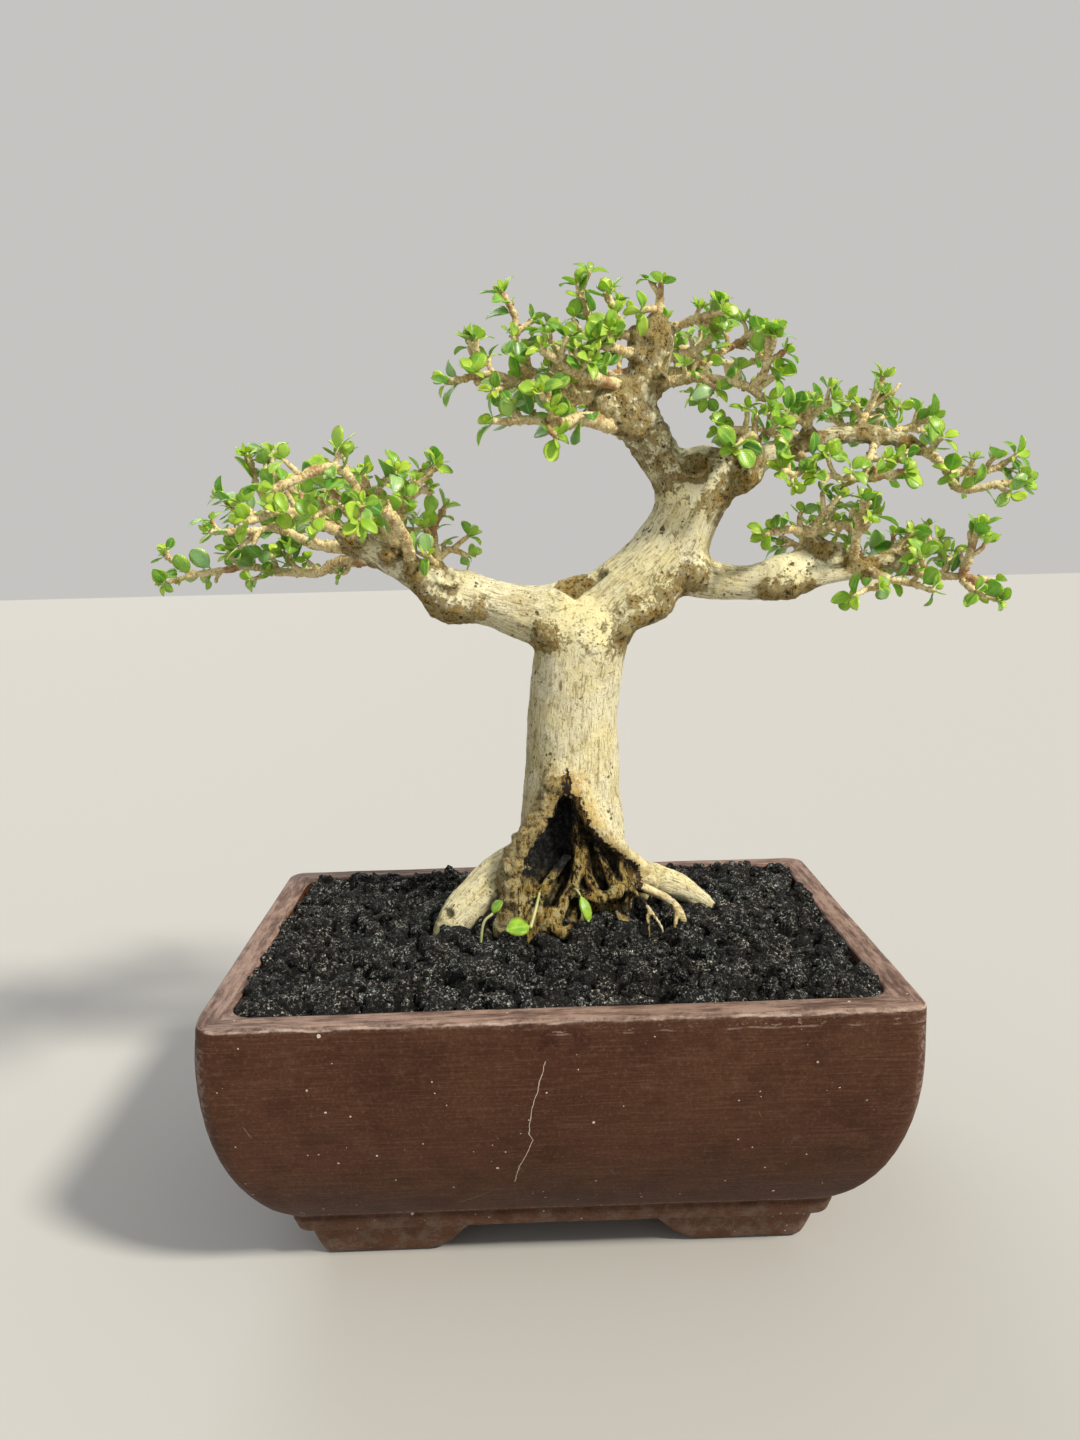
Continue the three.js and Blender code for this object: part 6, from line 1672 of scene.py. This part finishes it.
def leaf_finish():
    leaf = Finish("leaf_green")
    u, v, under = leaf.axes(leaf.read("blade", vector=True))
    young, tint = leaf.read("young"), leaf.read("tint")
    across = leaf.times(leaf.math("ABSOLUTE", leaf.math("SUBTRACT", u, 0.5)), 2.0)
    old = leaf.mix(tint, (0.030, 0.13, 0.022), (0.12, 0.34, 0.030))
    new = leaf.mix(tint, (0.28, 0.54, 0.035), (0.52, 0.76, 0.060))
    age = leaf.math("ADD", young, leaf.ramp(leaf.noise(6), 0.3, 0.7, -0.2, 0.2))
    base = leaf.mix(leaf.ramp(age, 0.05, 0.85), old, new)
    waxy = leaf.times(leaf.ramp(tint, 0.84, 0.90), leaf.ramp(young, 0.5, 0.3), 0.75)
    base = leaf.mix(waxy, base, (0.34, 0.52, 0.30))
    edge = leaf.math("MAXIMUM", leaf.ramp(across, 0.72, 1.0, 0, 0.7), leaf.ramp(v, 0.93, 1.0, 0, 0.6))
    base = leaf.mix(edge, base, (0.55, 0.74, 0.09))
    base = leaf.layers(base, (across, 0.16, 0.03, 0.5, (0.42, 0.62, 0.13)))
    slant = leaf.math("SUBTRACT", leaf.times(v, 9.0), leaf.times(across, 3.0))
    from_vein = leaf.math("ABSOLUTE", leaf.math("SUBTRACT", leaf.math("FRACT", slant), 0.5))
    veins = leaf.ramp(from_vein, 0.12, 0.02)
    base = leaf.mix(leaf.times(veins, 0.16), base, (0.34, 0.56, 0.10))
    base = leaf.mix(leaf.times(under, 0.4), base, (0.30, 0.50, 0.12))
    leaf.colour(base)
    quilted = leaf.relief(veins, 0.16)
    return leaf.finish(quilted, roughness=0.34, specular_ior_level=0.45, subsurface_weight=0.3,
                       subsurface_scale=0.002, subsurface_radius=(0.45, 1.0, 0.12))


# %% Leaves on their twigs
leaf_recipe = Recipe("leaves_on_twigs", Shapes="Collection", Finish="Material", Size="Float", Spread="Float",
                     Seed="Int")
start = leaf_recipe.start
turn = leaf_recipe.add("FunctionNodeEulerToRotation", {"Euler": leaf_recipe.read("turn", "FLOAT_VECTOR")})
least, most = (leaf_recipe.math(operation, 1.0, start["Spread"]) for operation in ("SUBTRACT", "ADD"))
vary = leaf_recipe.between(least, most, start["Seed"])
sized = leaf_recipe.math("MULTIPLY", leaf_recipe.read("size"), start["Size"])
leaf_recipe.plant(start["Geometry"], instance_index=leaf_recipe.read("kind", "INT"),
                  rotation=turn.outputs["Rotation"], scale=leaf_recipe.math("MULTIPLY", sized, vary))

leaf_family = family("leaf", LEAVES)
leaf_green = leaf_finish()
for name, pad in pads.items():
    feet = make_piece(f"{name}_leaf_feet", [leaf["foot"] for leaf in pad["leaves"]], [])
    give(feet, "turn", [Matrix(leaf["turn"]).to_euler() for leaf in pad["leaves"]])
    give(feet, "size", [leaf["size"] / 1000 for leaf in pad["leaves"]])
    for label in ("young", "tint"):
        give(feet, label, [leaf[label] for leaf in pad["leaves"]])
    kinds = feet.data.attributes.new("kind", "INT", "POINT")
    kinds.data.foreach_set("value", [leaf["kind"] for leaf in pad["leaves"]])
    blades = leaf_recipe.run(f"{name}_leaves", feet, {
        "Shapes": leaf_family, "Finish": leaf_green, "Size": 1.0, "Spread": 0.08, "Seed": 3})
    bpy.data.objects.remove(feet)
    seat(blades, "foliage", *pad["stems"])
clear_family(leaf_family)

# %% [markdown]
# The soil is dark and crumbly. A flat plane with a bump texture would betray itself at the rim, where it
# meets the pot, so the bed is a fine grid in which every clump and crumb is a small dome of its own, and
# loose crumbs lie on top. The bed goes down into the pot and is closed, like the solid that it stands for.
# Crevices are where the bed lies lower than its neighbourhood: the material paints shade in them by leaving
# out the light grains, and few loose crumbs fall there. The light grains are partly pale dry grains and
# partly painted highlights.

# %% The soil's bed
SOIL_EDGE, SOIL_MOUND = 117.5, 7.0
SOIL_GAP = 0.3


def soil_height(x, y):
    dome = (1 - (2 * x / LENGTH) ** 2) * (1 - (2 * y / DEPTH) ** 2)
    heap = np.clip(1 - ((x + 58) / 24) ** 2, 0, 1) * np.clip(1 - ((y - 50) / 18) ** 2, 0, 1)
    wide = np.sin(0.41 * x + 2.1 * np.sin(0.23 * y)) * np.sin(0.47 * y + 2.4 * np.cos(0.19 * x))
    small = np.sin(0.87 * x + 0.33 * y) * np.cos(0.79 * y - 0.27 * x)
    return SOIL_EDGE + SOIL_MOUND * dome + 3 * heap + 1.6 * (wide + 0.7 * small)


def soil_bed(step=1.25):
    half = np.array([LENGTH / 2 - RIM_WIDTH - SOIL_GAP, DEPTH / 2 - RIM_WIDTH - SOIL_GAP])
    counts = np.round(2 * half / step).astype(int)
    xs, ys = (np.linspace(-h, h, n + 1) for h, n in zip(half, counts))
    x, y = (grid.copy() for grid in np.meshgrid(xs, ys, indexing="ij"))
    top = soil_height(x, y) - 4.0
    draw = seeded_run(17)
    clumps, crumbs = (620, 3.2, 8.5, 0.42), (2600, 0.9, 2.8, 0.1)
    for count, smallest, biggest, sunk in (clumps, crumbs):
        for _ in range(count):
            centre = np.array([draw(-half[0], half[0]), draw(-half[1], half[1])])
            radius = smallest + (biggest - smallest) * draw() ** 2.5
            cut = tuple(slice(*np.searchsorted(axis, (c - radius, c + radius)))
                        for axis, c in zip((xs, ys), centre))
            inside_ball = radius**2 - (x[cut] - centre[0]) ** 2 - (y[cut] - centre[1]) ** 2
            ground = soil_height(*centre) if smallest > 2 else top[cut].mean()
            dome = ground - sunk * radius + 0.95 * np.sqrt(np.maximum(inside_ball, 0))
            top[cut] = np.where(inside_ball > 0, np.maximum(top[cut], dome), top[cut])
    flat = np.column_stack([x.ravel(), y.ravel(), np.zeros(x.size)])
    top += 0.45 * rough(flat, 3.2, 31, 2).reshape(x.shape)
    edge = np.minimum(half[0] - np.abs(x), half[1] - np.abs(y))
    top = np.minimum(top, SOIL_EDGE + 1.6 + 1.2 * np.clip(edge, 0, 8))
    dx, dy = (np.maximum(np.abs(grid) - (h - CAVITY_CORNER), 0) for grid, h in zip((x, y), half))
    squeeze = np.maximum(dx, dy) / np.maximum(np.hypot(dx, dy), 1e-9)
    squeeze = np.where((dx > 0) & (dy > 0), squeeze, 1)
    x = np.sign(x) * (np.minimum(np.abs(x), half[0] - CAVITY_CORNER) + dx * squeeze)
    y = np.sign(y) * (np.minimum(np.abs(y), half[1] - CAVITY_CORNER) + dy * squeeze)
    return x, y, top, half


def soil_faces(shape):
    number = np.arange(shape[0] * shape[1]).reshape(shape)
    quads = np.stack([number[:-1, :-1], number[1:, :-1], number[1:, 1:], number[:-1, 1:]], -1).reshape(-1, 4)
    border = np.concatenate([number[:-1, 0], number[-1, :-1], number[:0:-1, -1], number[0, :0:-1]])
    return [tuple(quad) for quad in quads.tolist()], border


x, y, top, half = soil_bed()
bed_points = np.column_stack([x.ravel(), y.ravel(), top.ravel()])
bed_faces, border = soil_faces(x.shape)
rim_line = bed_points[border]
core = np.clip(rim_line[:, :2], -(half - CAVITY_CORNER), half - CAVITY_CORNER)
last = border
for height in (108, 96, 82, 66, 50, 38, FLOOR_TOP + SOIL_GAP):
    shrink = belly_inset(max(height, 34))
    smaller = core * (half - CAVITY_CORNER - shrink) / (half - CAVITY_CORNER)
    ring = np.column_stack([smaller + rim_line[:, :2] - core, np.full(len(border), height)])
    numbers = np.arange(len(border)) + len(bed_points)
    bed_faces += [(last[i], numbers[i], numbers[(i + 1) % len(border)], last[(i + 1) % len(border)])
                  for i in range(len(border))]
    bed_points = np.vstack([bed_points, ring])
    last = numbers
bed_faces += [(len(bed_points), last[(i + 1) % len(border)], last[i]) for i in range(len(border))]
bed_points = np.vstack([bed_points, [[0, 0, FLOOR_TOP + SOIL_GAP]]])
print("bed:", len(bed_points), "points")

# %% The soil's finish
def soil_finish():
    soil = Finish("crumbly_soil")
    flakes = {"Vector": soil.ragged(2.0, 1.2), "Scale": 1000 / 1.1}
    gap = soil.add("TexVoronoi", flakes, feature="DISTANCE_TO_EDGE").outputs["Distance"]
    colour = soil.add("TexVoronoi", flakes).outputs["Color"]
    chance = soil.add("SeparateColor", {"Color": colour}).outputs["Red"]
    grains = soil.noise(1.2, detail=6, roughness=0.8)
    # light grains: partly pale dry grains, partly painted highlights. Crevices leave them out, which is
    # painted shade.
    light = soil.times(soil.ramp(chance, 0.25, 0.85), soil.ramp(grains, 0.475, 0.585),
                       soil.ramp(soil.noise(9), 0.40, 0.58, 0.2, 1.0),
                       soil.ramp(soil.read("crevice"), 0.15, 0.8, 1.0, 0.06))
    grey = soil.mix(soil.ramp(soil.noise(16, detail=2), 0.44, 0.58), (0.98, 0.93, 0.83), (0.90, 0.98, 0.94))
    base = soil.mix(light, (0.004, 0.004, 0.004), grey)
    # painted shade: black lines where the grains meet, in the low parts of their bump
    base = soil.layers(base, (gap, 0.14, 0.02, 0.85, (0.002, 0.002, 0.002)))
    fleck = soil.spots(5.0, soil.ramp(soil.noise(7), 0.5, 0.8, 0.0, 0.10))
    base = soil.mix(soil.times(fleck, 0.6), base, (0.16, 0.10, 0.06))
    soil.colour(base)
    fine = soil.relief(grains, 1.5)
    crumbs = soil.relief(soil.ramp(gap, 0.0, 0.35), 1.2, under=fine)
    return soil.finish(crumbs, roughness=0.7, specular_ior_level=0.35)


dark_soil = soil_finish()
soil = make_piece("soil_bed", bed_points, bed_faces, dark_soil)
# crevice: how far the bed lies below the mean round it. The material paints shade there, and fewer loose
# crumbs fall there.
around = sum(np.roll(top, (i, j), (0, 1)) for i in range(-4, 5) for j in range(-4, 5)) / 81
crevice = np.zeros(len(bed_points))
crevice[:x.size] = clear_step(around - top, -0.1, 1.7).ravel()
give(soil, "crevice", crevice)
from_wood = field_round(bed_points[:x.size])
from_pot = np.minimum(half[0] - np.abs(x), half[1] - np.abs(y)).ravel()
open_ground = np.zeros(len(bed_points))
open_ground[:x.size] = clear_step(from_wood, 0.5, 2.5) * clear_step(from_pot, 0.2, 1.5)
give(soil, "open_ground", open_ground * (1 - 0.9 * crevice))

# %% Loose crumbs
crumb_recipe = scatter_recipe("loose_crumbs", where="open_ground")
crumb_family = family("crumb", [lump(seed + 9, 0.6, 0.8) for seed in range(5)])
crumbs = crumb_recipe.run("soil_crumbs", soil, {
    "Shapes": crumb_family, "Finish": dark_soil, "Density": 73000.0, "Smallest": 0.0006, "Biggest": 0.0038,
    "Seed": 11})
clear_family(crumb_family)
seat(soil, "soil", "soil")
seat(crumbs, "soil", "soil")

# %% [markdown]
# Three small sprouts stand at the foot of the trunk, each a pale stem with one leaf. They are made of the
# same parts as the crown: a tube and a blade, set where the photograph shows them.

# %% Sprouts
SPROUTS = {
    # the stem's rows, the leaf's tip, the leaf's breadth for its length
    "round_leaf": ([(-6, -17, 143, 0.6), (-8, -25, 138, 0.7), (-10.5, -31, 132, 0.8)],
                   (-20, -35, 134), 0.95),
    "small_leaf": ([(-33, -29, 120, 0.6), (-31, -28, 133, 0.6), (-27, -27, 137, 0.6)],
                   (-23.5, -27, 143), 0.75),
    "narrow_leaf": ([(9, -14, 143, 0.6), (10.5, -18, 143.5, 0.55), (11.7, -20, 142, 0.5)],
                    (15.5, -27, 133), 0.42),
}
sprout_stem = Finish("pale_sprout_stem")
sprout_stem.colour(sprout_stem.mix(sprout_stem.ramp(sprout_stem.noise(4), 0.3, 0.7), (0.55, 0.50, 0.27),
                                   (0.34, 0.42, 0.14)))
sprout_stem.finish(sprout_stem.relief(sprout_stem.noise(0.8), 0.1), roughness=0.5)

for name, (way, tip, breadth) in SPROUTS.items():
    line = smooth_line(way, 0.9)
    points, faces, _ = tube(line, 8)
    foot = line[-1, :3]
    along = np.array(tip) - foot
    length = np.linalg.norm(along)
    along /= length
    face = square_to(along, np.array([0.0, -0.6, 1.0]))
    leaf_points, leaf_faces, attributes = leaf_shape(breadth, 0.18, 0.25, 0.15, thick=0.05)
    turn = np.column_stack([np.cross(along, face), along, face])
    stem_count = len(points)
    faces += [tuple(corner + stem_count for corner in face_corners) for face_corners in leaf_faces]
    points = np.vstack([points, foot + length * (leaf_points @ turn.T)])
    sprout = make_piece(f"{name}_sprout", points, faces, sprout_stem.material)
    sprout.data.materials.append(leaf_green)
    for polygon in list(sprout.data.polygons)[-len(leaf_faces):]:
        polygon.material_index = 1
    blade = np.zeros((len(points), 3))
    blade[stem_count:] = attributes["blade"]
    give(sprout, "blade", blade)
    for label, value in (("young", 0.4), ("tint", 0.6)):
        give(sprout, label, np.full(len(points), value))
    seat(sprout, "foliage", f"sprout_{name}")

# %% [markdown]
# The photograph was taken from close by and almost straight in front, at the height of the limbs and looking
# a little down. Its camera was worked out from the pot's corners. The studio is plain: a pale floor, a pale
# sky, a warm sun from the front right, where the photograph has it, and a weak one from behind at the left.

# %% Floor, lights and camera
FLOOR_REACH, FLOOR_DROP = 6, 0.0004
corners = [(x * FLOOR_REACH, y * FLOOR_REACH, -FLOOR_DROP) for x, y in ((-1, -1), (1, -1), (1, 1), (-1, 1))]
floor = bpy.data.objects.new("floor", bpy.data.meshes.new("floor"))
floor.data.from_pydata(corners, [], [(0, 1, 2, 3)])
bpy.context.scene.collection.objects.link(floor)
ground = Finish("pale_floor")
ground.colour((0.45, 0.445, 0.435))
floor.data.materials.append(ground.finish(roughness=0.8))
floor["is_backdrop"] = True

world = bpy.data.worlds.new("pale_studio")
world.use_nodes = True
world.node_tree.nodes["Background"].inputs["Color"].default_value = (1.0, 0.985, 0.955, 1)
world.node_tree.nodes["Background"].inputs["Strength"].default_value = 0.56
bpy.context.scene.world = world


def add_sun(name, place, strength, softness, colour):
    """Light that falls the same way everywhere, so that the floor is evenly lit."""
    light = bpy.data.lights.new(name, "SUN")
    light.energy, light.angle, light.color = strength, softness, colour
    holder = bpy.data.objects.new(name, light)
    holder.location = place
    holder.rotation_euler = (-Vector(place)).to_track_quat("-Z", "Y").to_euler()
    bpy.context.scene.collection.objects.link(holder)


add_sun("front_right", (1.15, -0.85, 1.35), 4.0, 0.14, (1.0, 0.94, 0.80))
add_sun("behind_left", (-0.6, 1.3, 1.2), 0.7, 0.6, (0.95, 0.97, 1.0))

CAMERA_PLACE = (-12.63, -476.81, 298.75)
YAW, DOWN, ROLL = 0.0188, 0.1689, -0.0248
ahead = np.array([np.sin(YAW) * np.cos(DOWN), np.cos(YAW) * np.cos(DOWN), -np.sin(DOWN)])
right = np.array([np.cos(YAW), -np.sin(YAW), 0.0])
up = np.cross(right, ahead)
rolled_right = np.cos(ROLL) * right + np.sin(ROLL) * up
rolled_up = np.cos(ROLL) * up - np.sin(ROLL) * right
lens = bpy.data.cameras.new("photo_view")
lens.sensor_width, lens.lens = 36.0, 27.0
lens.clip_start, lens.clip_end = 0.01, 50.0
camera = bpy.data.objects.new("photo_view", lens)
axes = Matrix(np.column_stack([rolled_right, rolled_up, -ahead]).tolist()).to_4x4()
camera.matrix_world = Matrix.Translation(placed(CAMERA_PLACE)) @ axes
bpy.context.scene.collection.objects.link(camera)
bpy.context.scene.camera = camera
bpy.context.scene.view_settings.view_transform = "Standard"

# %% [markdown]
# The finished tree should be as big as the plain solids that it stands for, give or take a few millimetres.
# Both boxes are written down, for a look at the difference.

# %% Sizes and the end
bpy.context.view_layer.update()
boxes = [[list(corner) for corner in box] for box in (cad_box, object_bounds())]
print("boxes:", [[[round(v, 4) for v in corner] for corner in box] for box in boxes])
